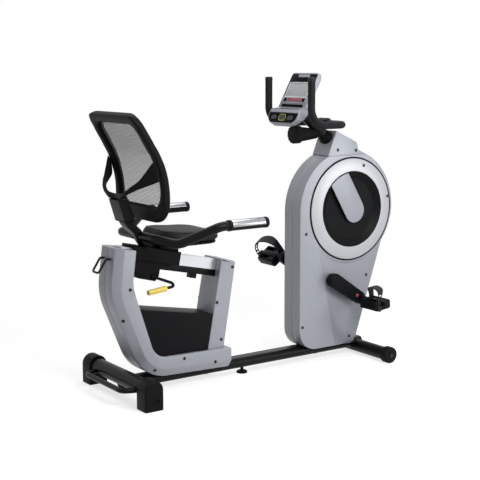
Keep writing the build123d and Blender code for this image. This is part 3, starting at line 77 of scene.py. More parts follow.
# %% Camera
CAMERA_PLACE = (-2.725, -3.847, 1.329)
CAMERA_TURN = radians(34.715)
CAMERA_DIP = radians(9.0014)
CAMERA_ROLL = -0.0017
LENS, SENSOR = 82.71, 36  # focal length and width of the sensor in mm
ahead = Vector((sin(CAMERA_TURN) * cos(CAMERA_DIP), cos(CAMERA_TURN) * cos(CAMERA_DIP), -sin(CAMERA_DIP)))
camera_data = bpy.data.cameras.new("camera")
camera_data.lens = LENS
camera_data.sensor_width = SENSOR
camera = bpy.data.objects.new("camera", camera_data)
bpy.context.scene.collection.objects.link(camera)
camera.location = CAMERA_PLACE
camera.rotation_mode = "QUATERNION"
level = ahead.to_track_quat("-Z", "Y")
camera.rotation_quaternion = level @ Matrix.Rotation(CAMERA_ROLL, 3, "Z").to_quaternion()
bpy.context.scene.camera = camera
bpy.context.scene.view_settings.view_transform = "Standard"
print("camera", tuple(camera.location))

# %% [markdown]
# Colours are written as the hex values that a paint chart gives. A render works in linear
# light, so one function turns the chart's value into linear light, and another adds one node
# with its settings and links. Every finish below is built from these two.

# %% Colour and node helpers


def linear(code):
    """A hex colour of a paint chart as linear red, green, blue and alpha."""
    parts = [int(code[i:i + 2], 16) / 255 for i in (1, 3, 5)]
    return [p / 12.92 if p <= 0.04045 else ((p + 0.055) / 1.055) ** 2.4 for p in parts] + [1]


def node(tree, kind, inputs=None, **settings):
    """Adds one node; inputs holds plain values or the sockets that feed it."""
    made = tree.nodes.new(kind)
    for name, value in settings.items():
        setattr(made, name, value)
    for socket, value in (inputs or {}).items():
        if isinstance(value, bpy.types.NodeSocket):
            tree.links.new(value, made.inputs[socket])
        else:
            made.inputs[socket].default_value = value
    return made


print("mid grey is", round(linear("#808080")[0], 3))

# %% [markdown]
# The bike stands on a seamless white sweep. Round the bike the paper takes a soft shadow; from
# a metre further out it is plain white, as an overlit sweep is, so no horizon shows. For the
# light itself the room is dim and even, and three softboxes do the rest: one beside the bike,
# one overhead, and a low one ahead of it, which the upper sides mirror to the camera.

# %% Floor and room
FLOOR_SIZE = 60
SHADOW_REACH, WHITE_REACH = 0.9, 2.2  # metres from the middle: the shadow starts to fade, and has faded


def shown_rays(tree):
    """The socket that is 1 for what the eye, a reflection or a clear piece looks at."""
    rays = node(tree, "ShaderNodeLightPath").outputs
    seen = rays["Is Camera Ray"]
    for kind in ("Is Glossy Ray", "Is Transmission Ray"):
        seen = node(tree, "ShaderNodeMath", {0: seen, 1: rays[kind]}, operation="MAXIMUM").outputs[0]
    return seen


bpy.ops.mesh.primitive_plane_add(size=FLOOR_SIZE)
floor = bpy.context.object
floor.name = "floor"
sweep = bpy.data.materials.new("white_paper_sweep")
sweep.use_nodes = True
tree = sweep.node_tree
tree.nodes.clear()
place = node(tree, "ShaderNodeTexCoord")
reach = node(tree, "ShaderNodeVectorMath", {0: place.outputs["Object"]}, operation="LENGTH")
far = node(
    tree, "ShaderNodeMapRange",
    {"Value": reach.outputs["Value"], "From Min": SHADOW_REACH, "From Max": WHITE_REACH},
    interpolation_type="SMOOTHSTEP",
)
lit = node(tree, "ShaderNodeBsdfDiffuse", {"Color": linear("#c8c8c8")})
glow = node(tree, "ShaderNodeEmission", {"Color": (1, 1, 1, 1), "Strength": 0.7})
near_paper = node(tree, "ShaderNodeAddShader", {0: lit.outputs[0], 1: glow.outputs[0]})
far_paper = node(tree, "ShaderNodeEmission", {"Color": (1, 1, 1, 1), "Strength": 1.0})
seen_paper = node(
    tree, "ShaderNodeMixShader", {0: far.outputs[0], 1: near_paper.outputs[0], 2: far_paper.outputs[0]},
)
paper = node(tree, "ShaderNodeBsdfDiffuse", {"Color": linear("#d8d8d8")})
both = node(tree, "ShaderNodeMixShader", {0: shown_rays(tree), 1: paper.outputs[0], 2: seen_paper.outputs[0]})
node(tree, "ShaderNodeOutputMaterial", {"Surface": both.outputs[0]})
floor.data.materials.append(sweep)

world = bpy.data.worlds.new("white_room")
bpy.context.scene.world = world
world.use_nodes = True
tree = world.node_tree
tree.nodes.clear()
room = node(tree, "ShaderNodeBackground", {"Color": linear("#f2f5ff"), "Strength": 0.1})
white = node(tree, "ShaderNodeBackground", {"Color": (1, 1, 1, 1), "Strength": 1.0})
both = node(tree, "ShaderNodeMixShader", {0: shown_rays(tree), 1: room.outputs[0], 2: white.outputs[0]})
node(tree, "ShaderNodeOutputWorld", {"Surface": both.outputs[0]})
print("floor", floor.name, "world", world.name)

# %% Softboxes
AIM = Vector((0, 0, 0.6))  # the middle of the bike
# Place in metres, edge in metres and power in watts.
SOFTBOXES = {
    "side_softbox": ((-0.1, -2.6, 2.1), 1.4, 66),
    "front_softbox": ((2.5, -3.1, 1.0), 1.2, 30),
    "top_softbox": ((0.2, 0.4, 3.4), 2.6, 55),
}
for lamp_name, (place, size, watts) in SOFTBOXES.items():
    lamp = bpy.data.lights.new(lamp_name, "AREA")
    lamp.size = size
    lamp.energy = watts
    softbox = bpy.data.objects.new(lamp_name, lamp)
    softbox.location = place
    softbox.visible_camera = False
    softbox.rotation_mode = "QUATERNION"
    softbox.rotation_quaternion = (AIM - softbox.location).to_track_quat("-Z", "Y")
    bpy.context.scene.collection.objects.link(softbox)
print("softboxes", len(SOFTBOXES))

# %% [markdown]
# Most of the bike is moulded, sprayed or coated, and all of these show the same thing up
# close: a fine grain that varies the colour, the gloss and the surface a little. One function
# lets a surface follow a pattern in these three ways, and another builds the grain from its
# real size in millimetres. A finish that shows more than a grain gets its own cell further down.

# %% A grained finish


def blank(name):
    """A new material, its node tree and the place on the piece, for a pattern to start from."""
    material = bpy.data.materials.new(name)
    material.use_nodes = True
    tree = material.node_tree
    return material, tree, node(tree, "ShaderNodeTexCoord").outputs["Object"]


def follow(tree, pattern, dark, light, rough, bump_mm):
    """Lets the colour, the gloss and the height of a surface follow one pattern."""
    surface = tree.nodes["Principled BSDF"]
    tone = node(tree, "ShaderNodeMix", {0: pattern, 6: linear(dark), 7: linear(light)}, data_type="RGBA")
    gloss = node(tree, "ShaderNodeMapRange", {"Value": pattern, "To Min": rough[0], "To Max": rough[1]})
    relief = node(tree, "ShaderNodeBump", {"Height": pattern, "Distance": bump_mm / 1000, "Strength": 1.0})
    tree.links.new(tone.outputs[2], surface.inputs["Base Color"])
    tree.links.new(gloss.outputs[0], surface.inputs["Roughness"])
    tree.links.new(relief.outputs[0], surface.inputs["Normal"])
    return surface


def grained(name, dark, light, grain_mm, rough, bump_mm, **shader):
    """A material with one grain of a real size; further shader values go to sockets of that name."""
    material, tree, place = blank(name)
    grain = node(
        tree, "ShaderNodeTexNoise",
        {"Vector": place, "Scale": 1000 / grain_mm, "Detail": 3.0, "Roughness": 0.6},
    )
    surface = follow(tree, grain.outputs["Fac"], dark, light, rough, bump_mm)
    for socket, value in shader.items():
        surface.inputs[socket.replace("_", " ")].default_value = value
    return material


# ABS sprayed with silver lacquer: aluminium flake gives a soft, wide shine and a faint sparkle.
# The flake is about 0.05 mm; it is drawn at 2 mm so that a trace of it shows.
SILVER = ("#9598a0", "#a3a6ae", 2, (0.34, 0.42), 0.01)
SILVER_FLAKE = 0.15
silver_lacquer = grained("silver_lacquer_on_abs", *SILVER, Metallic=SILVER_FLAKE)
# Black ABS from a spark-eroded mould: a dull grain that scatters the highlight.
black_abs = grained(
    "moulded_black_abs", "#0b0c0d", "#121315", 1.5, (0.42, 0.55), 0.05, Specular_IOR_Level=0.08,
)
# Powder coat baked on steel tube: a satin skin with a slight orange peel of about 2 mm.
powder_coat = grained("black_powder_coat", "#090a0b", "#0f1012", 2, (0.3, 0.4), 0.03, Specular_IOR_Level=0.12)
# Bright silver trim ring: a smooth lacquered moulding, paler and glossier than the covers.
ring_lacquer = grained("bright_silver_trim", "#b4b5ba", "#c0c1c5", 3, (0.3, 0.38), 0.005, Metallic=0.2)
# Zinc-plated steel of bolts and shafts: grey, with a blurred reflection.
zinc_steel = grained("zinc_plated_steel", "#8f9296", "#a9abb0", 1, (0.25, 0.4), 0.01, Metallic=1.0)
# Blackened steel of the cover screws.
black_oxide = grained("black_oxide_screw", "#0d0d0f", "#151619", 1, (0.4, 0.5), 0.01, Metallic=0.3)
# Grey cast iron, machined: a coarse, dull metal.
grey_iron = grained("machined_grey_iron", "#55575a", "#6a6c70", 2, (0.4, 0.55), 0.03, Metallic=0.9)
# Moulded rubber of wheels and belt: near black and dull.
tyre_rubber = grained(
    "moulded_tyre_rubber", "#0e0e0f", "#151517", 2, (0.6, 0.75), 0.04, Specular_IOR_Level=0.1,
)
# Closed-cell foam of the grips: a soft, pitted skin with pores of about 1 mm, drawn at 2.5 mm.
grip_foam = grained("black_grip_foam", "#141517", "#202123", 2.5, (0.45, 0.6), 0.1, Specular_IOR_Level=0.12)
# Flexible PVC of the foot straps: smooth, with a low sheen.
strap_pvc = grained("soft_black_pvc", "#1e1f22", "#292a2d", 3, (0.42, 0.55), 0.03, Specular_IOR_Level=0.14)
# Nylon with glass fibre for cranks' covers and pedals: dense black with a faint mottling.
filled_nylon = grained(
    "glass_filled_nylon", "#090a0b", "#111214", 3, (0.36, 0.5), 0.04, Specular_IOR_Level=0.08,
)
# Yellow dipped vinyl on the lever: thick, rounded and a little shiny.
yellow_vinyl = grained("dipped_yellow_vinyl", "#e2c343", "#efd970", 4, (0.32, 0.45), 0.05)
# Silicone of the console keys: dark grey and satin.
key_silicone = grained("dark_key_silicone", "#2c2d30", "#38393d", 1, (0.4, 0.5), 0.02, Specular_IOR_Level=0.3)
# Glossy black acrylic of the console's printed panels: deep black under a clear surface.
panel_acrylic = grained(
    "glossy_black_acrylic", "#050506", "#08080a", 4, (0.18, 0.26), 0.002, Specular_IOR_Level=0.025,
)
# Liquid crystal glass: a pale grey-green field with a soft shine.
display_glass = grained("pale_display_glass", "#b4b8b8", "#bfc3c2", 6, (0.15, 0.22), 0.002)
# White moulded frame round the display.
white_abs = grained("moulded_white_abs", "#dcdde0", "#e6e7ea", 2, (0.4, 0.5), 0.02)
# Red acrylic over the light bar: dark red with a faint milky depth.
red_acrylic = grained("red_light_bar_acrylic", "#a03348", "#bd4a5e", 5, (0.2, 0.3), 0.004)
# Olive paint of the ring round the middle key.
olive_print = grained("olive_screen_print", "#868a2e", "#989c3c", 2, (0.4, 0.5), 0.01)
# Grained vinyl over the seat's foam: leather-like pebbles of about 1.5 mm, drawn at 3 mm, which
# break the shine.
seat_vinyl = grained(
    "grained_black_vinyl", "#131416", "#1d1e21", 3, (0.45, 0.6), 0.15, Specular_IOR_Level=0.14,
)
# Twisted polyester yarn of the back's net: dull dark grey with lighter fibres.
net_yarn = grained("polyester_net_yarn", "#3c3d40", "#545559", 1.2, (0.75, 0.9), 0.05, Specular_IOR_Level=0.2)
print("finishes", len(bpy.data.materials))

# %% [markdown]
# The lower front of each housing side lies behind a crease, and painted shade darkens the lacquer there, for
# the shade that the turned face takes. A plane through the crease bounds the painted shade, which fades out
# below the ring.

# %% Lacquer of the housing, with painted shade in front of the crease
CREASE = (0.323, 0.545)  # x and z in metres of the crease's upper end
CREASE_FRONT = (0.978, 0, 0.2075)  # the direction across the crease, forward
# The painted shade fades out between these two heights.
PAINTED_SHADE_LOW, PAINTED_SHADE_HIGH = 0.2, 0.62  # heights in metres between which the darker shade fades out
housing_lacquer_and_painted_shade = grained("silver_lacquer_and_painted_crease_shade", *SILVER, Metallic=SILVER_FLAKE)
tree = housing_lacquer_and_painted_shade.node_tree
base_colour = tree.nodes["Principled BSDF"].inputs["Base Color"]
place = node(tree, "ShaderNodeTexCoord").outputs["Object"]
across = node(tree, "ShaderNodeVectorMath", {0: place, 1: CREASE_FRONT}, operation="DOT_PRODUCT")
edge = CREASE_FRONT[0] * CREASE[0] + CREASE_FRONT[2] * CREASE[1]
front = node(tree, "ShaderNodeMath", {0: across.outputs["Value"], 1: edge}, operation="GREATER_THAN")
axes = node(tree, "ShaderNodeSeparateXYZ", {0: place})
fade = node(
    tree, "ShaderNodeMapRange",
    {"Value": axes.outputs["Z"], "From Min": PAINTED_SHADE_LOW, "From Max": PAINTED_SHADE_HIGH, "To Min": 1.0, "To Max": 0.0},
)
share = node(tree, "ShaderNodeMath", {0: front.outputs[0], 1: fade.outputs[0]}, operation="MULTIPLY")
# Painted shade: the base colour is multiplied darker in front of the crease and fades out upwards.
shade = node(
    tree, "ShaderNodeMix", {0: share.outputs[0], 6: base_colour.links[0].from_socket, 7: linear("#e4e4e6")},
    data_type="RGBA", blend_type="MULTIPLY",
)
tree.links.new(shade.outputs[2], base_colour)
print("housing lacquer nodes", len(tree.nodes))

# %% [markdown]
# Drawn metal carries fine lines along the way it was pulled through the die, and turned or
# polished metal carries them round the tube. A noise that is stretched along one direction
# gives such lines; a mapping turns them to the piece's own direction.

# %% Drawn and polished metal


def streaked(name, dark, light, turn, stretch_mm, rough, bump_mm):
    """Bare metal whose lines run along one direction; stretch_mm is the lines' size along x, y and z."""
    material, tree, place = blank(name)
    along = node(
        tree, "ShaderNodeMapping",
        {"Vector": place, "Rotation": turn, "Scale": [1000 / size for size in stretch_mm]},
    )
    lines = node(tree, "ShaderNodeTexNoise", {"Vector": along.outputs[0], "Scale": 1.0, "Detail": 2.0})
    surface = follow(tree, lines.outputs["Fac"], dark, light, rough, bump_mm)
    surface.inputs["Metallic"].default_value = 1.0
    return material


RAIL_TILT = radians(12)
# Extruded aluminium of the rail: pale, with die lines about 2 mm apart along the rail.
drawn_aluminium = streaked(
    "extruded_aluminium", "#b9bcc0", "#d4d6d9", (0, -RAIL_TILT, 0), (400, 2, 2), (0.28, 0.4), 0.01,
)
# Stainless steel of the pulse plates: polished round the grip, so its lines run round it too.
pulse_steel = streaked(
    "polished_stainless", "#9c9ea1", "#b0b2b5", (0, 0, 0), (1.5, 400, 400), (0.2, 0.26), 0.0002,
)
print("metals", drawn_aluminium.name, pulse_steel.name)

# %% [markdown]
# Every piece of the engineering model gets its finish here, named by the pieces that share it.
# Pieces that are remade further down take the same finishes.

# %% Finishes of the engineering model's pieces
FINISHES = {
    "silver_plastic": (silver_lacquer, [
        "seat_base_cover_right", "seat_base_cover_left", "leg_cover", "neck_cover", "console_shell",
    ]),
    # The housing sides take the lacquer with painted shade in front of the crease.
    "housing": (housing_lacquer_and_painted_shade, ["drive_cover_right", "drive_cover_left"]),
    "bright_ring": (ring_lacquer, ["cover_rings"]),
    "black_steel": (powder_coat, [
        "main_beam", "rear_stabilizer", "carry_handle", "front_stabilizer", "seat_posts", "loop_handle",
        "rail_bar", "back_arm", "back_bracket", "seat_handlebar", "drive_frame", "brake_arm", "mast",
        "adjust_lever",
    ]),
    "black_plastic": (black_abs, [
        "rear_end_caps", "centre_panel", "seat_carriage", "rail_glides", "seat_pan", "back_yoke",
        "back_frame", "cover_dishes", "mast_boot", "clamp_cover", "clamp_knob", "crank_pulley",
    ]),
    "pedals": (filled_nylon, ["crank_right", "crank_left", "pedal_right", "pedal_left"]),
    "straps": (strap_pvc, ["strap_right", "strap_left"]),
    "bare_aluminium": (drawn_aluminium, ["seat_rail"]),
    "bare_steel": (zinc_steel, ["crank_axle", "flywheel_axle", "crank_bearings"]),
    "screws": (black_oxide, ["cover_screws", "base_bolts"]),
    "grey_iron": (grey_iron, ["flywheel"]),
    "wheel_rubber": (tyre_rubber, [
        "transport_wheel_right", "transport_wheel_left", "levelling_foot", "drive_belt",
    ]),
    "grip_chrome": (pulse_steel, ["pulse_grips"]),
    "yellow_grip": (yellow_vinyl, ["lever_grip"]),
    "key_rubber": (key_silicone, ["key_down", "key_enter", "key_up"]),
    "screen_face": (display_glass, ["console_screen"]),
    "handlebar": (grip_foam, ["handlebar"]),
    "seat_vinyl": (seat_vinyl, ["seat_cushion"]),
    "back_fabric": (net_yarn, ["back_mesh"]),
}
finish_of = {}
for material, names in FINISHES.values():
    for name in names:
        finish_of[name] = material
        nodes[name].data.materials.clear()
        nodes[name].data.materials.append(material)
print("finished", len(finish_of), "of", len(nodes))

# %% [markdown]
# The rest of the lesson models pieces by hand. Four small helpers come first: one makes a
# piece the only selected one, because every operator acts on all that is selected; one applies
# a modifier; one rounds sharp edges with a bevel; and one settles a finished piece: its place
# goes into its mesh, and it gets its finish and the body that it moves with.

# %% Helpers for modelling by hand
SMOOTH_ANGLE = radians(40)  # faces that meet at less than this are shaded as one
CORNER_ANGLE = radians(60)  # edges of plates, rings and bars that are rounded
SPREAD = {"right": -1, "left": 1}  # the way along y to each side
record = frame["record"]
body_of = {name: body for body, names in record["behaviour"]["bodies"].items() for name in names}


def take(piece):
    """Makes one piece the only selected and active one."""
    for other in list(bpy.context.selected_objects):
        other.select_set(False)
    piece.select_set(True)
    bpy.context.view_layer.objects.active = piece


def applied(piece, kind, **settings):
    """Adds one modifier with its settings and applies it."""
    take(piece)
    modifier = piece.modifiers.new(kind.lower(), kind)
    for name, value in settings.items():
        setattr(modifier, name, value)
    bpy.ops.object.modifier_apply(modifier=modifier.name)


def rounded(piece, width_mm, segments=2):
    """Rounds the sharp edges and shades the piece smooth between them."""
    applied(
        piece, "BEVEL", width=width_mm / 1000, segments=segments, limit_method="ANGLE",
        angle_limit=CORNER_ANGLE, use_clamp_overlap=False,
    )
    bpy.ops.object.shade_smooth_by_angle(angle=SMOOTH_ANGLE)


def settle(piece, name, material, like):
    """Finishes a piece that moves with the CAD piece it is like."""
    take(piece)
    bpy.ops.object.transform_apply(location=True, rotation=True, scale=True)
    piece.name = name
    piece.data.materials.clear()
    piece.data.materials.append(material)
    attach(piece, body_of[like])
    return piece


# %% [markdown]
# Moulded covers, castings and sawn tubes have no knife edges: a mould needs a radius, and a
# coat of paint rounds the rest. Each piece below is copied from the engineering model, its
# loose triangles are merged into whole faces, and its edges get the radius that such a piece
# has. The light then runs along every edge.

# %% Covers and castings with eased edges
MERGE_REACH = 0.00002  # metres
FLAT_ANGLE = radians(0.4)  # faces that meet at less than this are one
EASED_ANGLE = radians(35)
EASE_ROOM = 2.2  # width, in radii, that both faces beside an eased edge have
BROAD_FACE = 0.005  # square metres; a crease between two such faces stays crisp


def merged_copy(name):
    """A copy of a CAD piece as a clean mesh: merged points, and flat areas joined to one face."""
    piece = bpy.data.objects.new(name + "_copy", nodes[name].data.copy())
    bpy.context.scene.collection.objects.link(piece)
    take(piece)
    bpy.ops.mesh.customdata_custom_splitnormals_clear()
    bpy.ops.object.mode_set(mode="EDIT")
    bpy.ops.mesh.select_all(action="SELECT")
    bpy.ops.mesh.remove_doubles(threshold=MERGE_REACH)
    bpy.ops.mesh.dissolve_limited(angle_limit=FLAT_ANGLE)
    bpy.ops.object.mode_set(mode="OBJECT")
    return piece


def eased(piece, radius):
    """Rounds, in mm, the outward edges that have room for the radius on the faces of both sides."""
    take(piece)
    bpy.ops.object.mode_set(mode="EDIT")
    bpy.ops.mesh.select_mode(type="EDGE")
    bpy.ops.mesh.select_all(action="DESELECT")
    mesh = bmesh.from_edit_mesh(piece.data)
    for edge in mesh.edges:
        if len(edge.link_faces) == 2 and edge.is_convex and edge.calc_face_angle() > EASED_ANGLE:
            start = edge.verts[0].co
            line = (edge.verts[1].co - start).normalized()
            rooms = [
                max(line.cross(corner.co - start).length for corner in face.verts) for face in edge.link_faces
            ]
            edge.select_set(min(rooms) > EASE_ROOM * radius / 1000)
    bmesh.update_edit_mesh(piece.data)
    bpy.ops.mesh.bevel(offset=radius / 1000, segments=3, affect="EDGES")
    bpy.ops.mesh.select_all(action="DESELECT")
    mesh = bmesh.from_edit_mesh(piece.data)
    for edge in mesh.edges:
        areas = [face.calc_area() for face in edge.link_faces]
        edge.select_set(len(areas) == 2 and min(areas) > BROAD_FACE)
    bmesh.update_edit_mesh(piece.data)
    bpy.ops.mesh.mark_sharp()
    bpy.ops.mesh.select_mode(type="VERT")
    bpy.ops.object.mode_set(mode="OBJECT")
    bpy.ops.object.shade_smooth_by_angle(angle=SMOOTH_ANGLE)


# Radius of the edges in mm.
EDGE_RADIUS = {
    "drive_cover_right": 3, "drive_cover_left": 3, "seat_base_cover_right": 3, "seat_base_cover_left": 3,
    "leg_cover": 6, "neck_cover": 4, "rear_end_caps": 5, "centre_panel": 2, "seat_carriage": 3,
    "back_bracket": 5, "main_beam": 3, "rail_bar": 2, "seat_pan": 3,
    "crank_right": 3, "crank_left": 3, "pedal_right": 2.5, "pedal_left": 2.5, "transport_wheel_right": 4,
    "transport_wheel_left": 4, "clamp_knob": 1.5, "clamp_cover": 2, "console_shell": 3, "lever_grip": 3,
    "cover_rings": 1.5, "mast_boot": 2, "back_arm": 3,
}
shown = {}
for name, radius in EDGE_RADIUS.items():
    piece = shown[name] = merged_copy(name)
    eased(piece, radius)
    settle(piece, name + "_eased", finish_of[name], name)
    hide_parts(name)
print("eased", len(EDGE_RADIUS))

# %% [markdown]
# A helper places things on a side of the bike; its first use is to sink a shallow panel, the
# mark of the mould's slide, into the outer end of each rear cap.

# %% Recess in the ends of the rear caps
RECESS_PLACE = (0, 41, 270)  # mm ahead of the rear axis, up and out; the caps' ends
RECESS_SIZE = (0.034, 0.016, 0.008)
SIDES = {
    "right": Matrix(((1, 0, 0), (0, 0, -1), (0, 1, 0))),
    "left": Matrix(((-1, 0, 0), (0, 0, 1), (0, 1, 0))),
}


def on_side(side, x, z, out_mm):
    """The placement on a side of the bike: its own x to the viewer's right, y up and z outwards."""
    return Matrix.Translation(at(x, SPREAD[side] * out_mm, z)) @ SIDES[side].to_4x4()


def trimmed(piece, cutter, way):
    """Cuts a piece by another one, which is used up."""
    applied(piece, "BOOLEAN", object=cutter, operation=way, solver="EXACT")
    bpy.data.objects.remove(cutter)


for side in SIDES:
    bpy.ops.mesh.primitive_cube_add(size=1)
    cutter = bpy.context.object
    cutter.matrix_world = on_side(side, *RECESS_PLACE) @ Matrix.Diagonal((*RECESS_SIZE, 1))
    trimmed(shown["rear_end_caps"], cutter, "DIFFERENCE")
print("cap faces", len(shown["rear_end_caps"].data.polygons))

# %% [markdown]
# The frame of the back and its yoke are thick nylon mouldings that are round all over, more
# than a bevel gives. Their copies are remeshed to small even squares and smoothed, the way
# clay is rubbed, until every edge has gone round.

# %% Back frame and yoke, rubbed round
CLAY_GRID = 0.003
for name, passes in (("back_frame", 90), ("back_yoke", 24)):
    soft_form = merged_copy(name)
    applied(soft_form, "REMESH", mode="VOXEL", voxel_size=CLAY_GRID)
    applied(soft_form, "SMOOTH", factor=0.5, iterations=passes)
    bpy.ops.object.shade_smooth()
    settle(soft_form, name + "_moulded", finish_of[name], name)
    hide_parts(name)
    print(name, "faces", len(soft_form.data.polygons))

# %% [markdown]
# The seat is foam under a stretched vinyl cover. The cover pulls the foam's edges round and
# the middle gives way where a rider has sat. Cloth with pressure inside does that: a slightly
# smaller copy of the pad is remeshed to even squares, its underside is held, and it is blown
# up against its own stiff skin. A cap keeps every point near where it started, and a smoothing
# pass takes out what is left of the folds, as the tight cover does.

# %% Seat cushion
VOXEL = 0.005
SHRINK = 0.004
HELD_LAYERS = 3
SWELL_CAP = 0.005
PRESSURE = 2
SETTLE_STEPS = 20
SKIN_STIFFNESS = 60
SKIN_BENDING = 20
FOLD_PASSES = 24
DENT = 0.005
cushion = merged_copy("seat_cushion")
cushion.data.remesh_voxel_size = VOXEL
bpy.ops.object.voxel_remesh()
applied(cushion, "DISPLACE", strength=-SHRINK, mid_level=0)
cushion_low, cushion_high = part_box("seat_cushion")
held = cushion.vertex_groups.new(name="held")
held_height = cushion_low[2] + HELD_LAYERS * VOXEL
held.add([v.index for v in cushion.data.vertices if v.co.z < held_height], 1.0, "REPLACE")
start = [v.co.copy() for v in cushion.data.vertices]
cloth = cushion.modifiers.new("cloth", "CLOTH")
cloth.settings.use_pressure = True
cloth.settings.uniform_pressure_force = PRESSURE
cloth.settings.tension_stiffness = SKIN_STIFFNESS
cloth.settings.compression_stiffness = SKIN_STIFFNESS
cloth.settings.bending_stiffness = SKIN_BENDING
cloth.settings.effector_weights.gravity = 0
cloth.settings.vertex_group_mass = "held"
for step in range(1, SETTLE_STEPS + 1):
    bpy.context.scene.frame_set(step)
blown = cushion.evaluated_get(bpy.context.evaluated_depsgraph_get()).to_mesh()
moves = [point.co - first for point, first in zip(blown.vertices, start)]
cushion.modifiers.remove(cloth)
for vertex, first, move in zip(cushion.data.vertices, start, moves):
    vertex.co = first + move * min(1, SWELL_CAP / max(move.length, 1e-9))
bpy.context.scene.frame_set(1)
middle = (Vector(cushion_low) + Vector(cushion_high)) / 2
half = (Vector(cushion_high) - Vector(cushion_low)) / 2
for vertex in cushion.data.vertices:
    reach = ((vertex.co.x - middle.x) / half.x) ** 2 + ((vertex.co.y - middle.y) / half.y) ** 2
    if vertex.co.z > middle.z:
        vertex.co.z -= DENT * max(0, 1 - reach)
applied(cushion, "SMOOTH", factor=0.5, iterations=FOLD_PASSES)
applied(cushion, "SUBSURF", levels=1, render_levels=1)
bpy.ops.object.shade_smooth()
settle(cushion, "seat_cushion_cover", seat_vinyl, "seat_cushion")
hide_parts("seat_cushion")
print("cushion faces", len(cushion.data.polygons))

# %% [markdown]
# Where the top of the cover meets its side band, the two are sewn together over a thin cord.
# A cut through the finished cushion gives the line of that seam, and a small round profile
# along it gives the piping.

# %% Piping of the cushion
PIPING_RADIUS = 0.0022
PIPING_SHARE = 0.66  # of the cushion's height
CUSHION_FALL = radians(4)


def beaded(line, radius):
    """Turns the edges of a mesh into a round bead."""
    take(line)
    bpy.ops.object.convert(target="CURVE")
    bead = bpy.context.object
    bead.data.bevel_depth = radius
    bead.data.bevel_resolution = 2
    bpy.ops.object.convert(target="MESH")
    bpy.ops.object.shade_smooth()
    return bpy.context.object


piping = bpy.data.objects.new("piping_line", cushion.data.copy())
bpy.context.scene.collection.objects.link(piping)
take(piping)
bpy.ops.object.mode_set(mode="EDIT")
bpy.ops.mesh.select_all(action="SELECT")
cut_height = cushion_low[2] + PIPING_SHARE * (cushion_high[2] - cushion_low[2])
bpy.ops.mesh.bisect(
    plane_co=(middle.x, 0, cut_height), plane_no=(sin(CUSHION_FALL), 0, cos(CUSHION_FALL)),
    clear_inner=True, clear_outer=True,
)
bpy.ops.object.mode_set(mode="OBJECT")
piping = beaded(piping, PIPING_RADIUS)
settle(piping, "seat_cushion_piping", seat_vinyl, "seat_cushion")
print("piping points", len(piping.data.vertices))

# %% [markdown]
# The back is a net of polyester yarn stretched over a curved frame. An even grid is laid over
# the engineering model's sheet by projecting it forward, and a wireframe turns the grid's lines
# into yarn. The real holes are about 2 mm; they are drawn at 6 mm so that the net stays light.

# %% Net of the back
NET_PITCH = 0.006
YARN = 0.0019
NET_RUN = 1.12  # length along the curve for a height of 1
NET_BEHIND = 0.05  # the grid starts this far behind the sheet
NET_LIFT = 0.001
net_low, net_high = (Vector(corner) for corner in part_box("back_mesh"))
net_size = net_high - net_low
net_middle = (net_low + net_high) / 2
net_plane = net_low.x - NET_BEHIND
net_start = (net_plane, 0, net_middle.z)
bpy.ops.mesh.primitive_grid_add(
    x_subdivisions=round(net_size.z * NET_RUN / NET_PITCH), y_subdivisions=round(net_size.y / NET_PITCH),
    size=1, location=net_start, rotation=(0, pi / 2, 0),
)
net = bpy.context.object
bpy.ops.object.mode_set(mode="EDIT")
bpy.ops.transform.resize(value=(1, net_size.y, net_size.z), center_override=net_start)
bpy.ops.object.mode_set(mode="OBJECT")
bpy.ops.object.transform_apply(location=True, rotation=True, scale=True)
applied(
    net, "SHRINKWRAP", target=nodes["back_mesh"], wrap_method="PROJECT", use_project_x=True,
    use_positive_direction=True, use_negative_direction=False, offset=NET_LIFT,
)
bpy.ops.object.mode_set(mode="EDIT")
bpy.ops.mesh.select_all(action="DESELECT")
bpy.ops.object.mode_set(mode="OBJECT")
for vertex in net.data.vertices:
    vertex.select = vertex.co.x < net_plane + NET_LIFT
bpy.ops.object.mode_set(mode="EDIT")
bpy.ops.mesh.delete(type="VERT")
bpy.ops.object.mode_set(mode="OBJECT")
applied(net, "WIREFRAME", thickness=YARN, use_even_offset=False, use_boundary=True, use_replace=True)
bpy.ops.object.shade_smooth()
settle(net, "back_net", net_yarn, "back_mesh")
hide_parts("back_mesh")
print("net faces", len(net.data.polygons))

# %% [markdown]
# The net's rim is welded to a plastic bead that snaps into the frame. The sharp edges of the
# engineering model's sheet give the bead its line.

# %% Hem of the net
HEM_RADIUS = 0.0028
RIM_ANGLE = radians(50)
hem = merged_copy("back_mesh")
bpy.ops.object.mode_set(mode="EDIT")
bpy.ops.mesh.select_mode(type="EDGE")
bpy.ops.mesh.select_all(action="DESELECT")
bpy.ops.mesh.edges_select_sharp(sharpness=RIM_ANGLE)
bpy.ops.mesh.select_all(action="INVERT")
bpy.ops.mesh.delete(type="EDGE")
bpy.ops.mesh.select_mode(type="VERT")
bpy.ops.object.mode_set(mode="OBJECT")
hem = beaded(hem, HEM_RADIUS)
settle(hem, "back_net_hem", black_abs, "back_frame")
print("hem points", len(hem.data.vertices))

# %% [markdown]
# Plates, panels and trim on the console and the housing are thin slabs: a rectangle with
# rounded corners, pushed out by its thickness, with its front edge eased. One function makes
# such a slab on its own flat plane, and a matrix then lays it on the face that carries it.

# %% A thin plate
CORNER_STEPS = 8
POINT_REACH = 0.00001  # metres; points of a round corner that are nearer are one


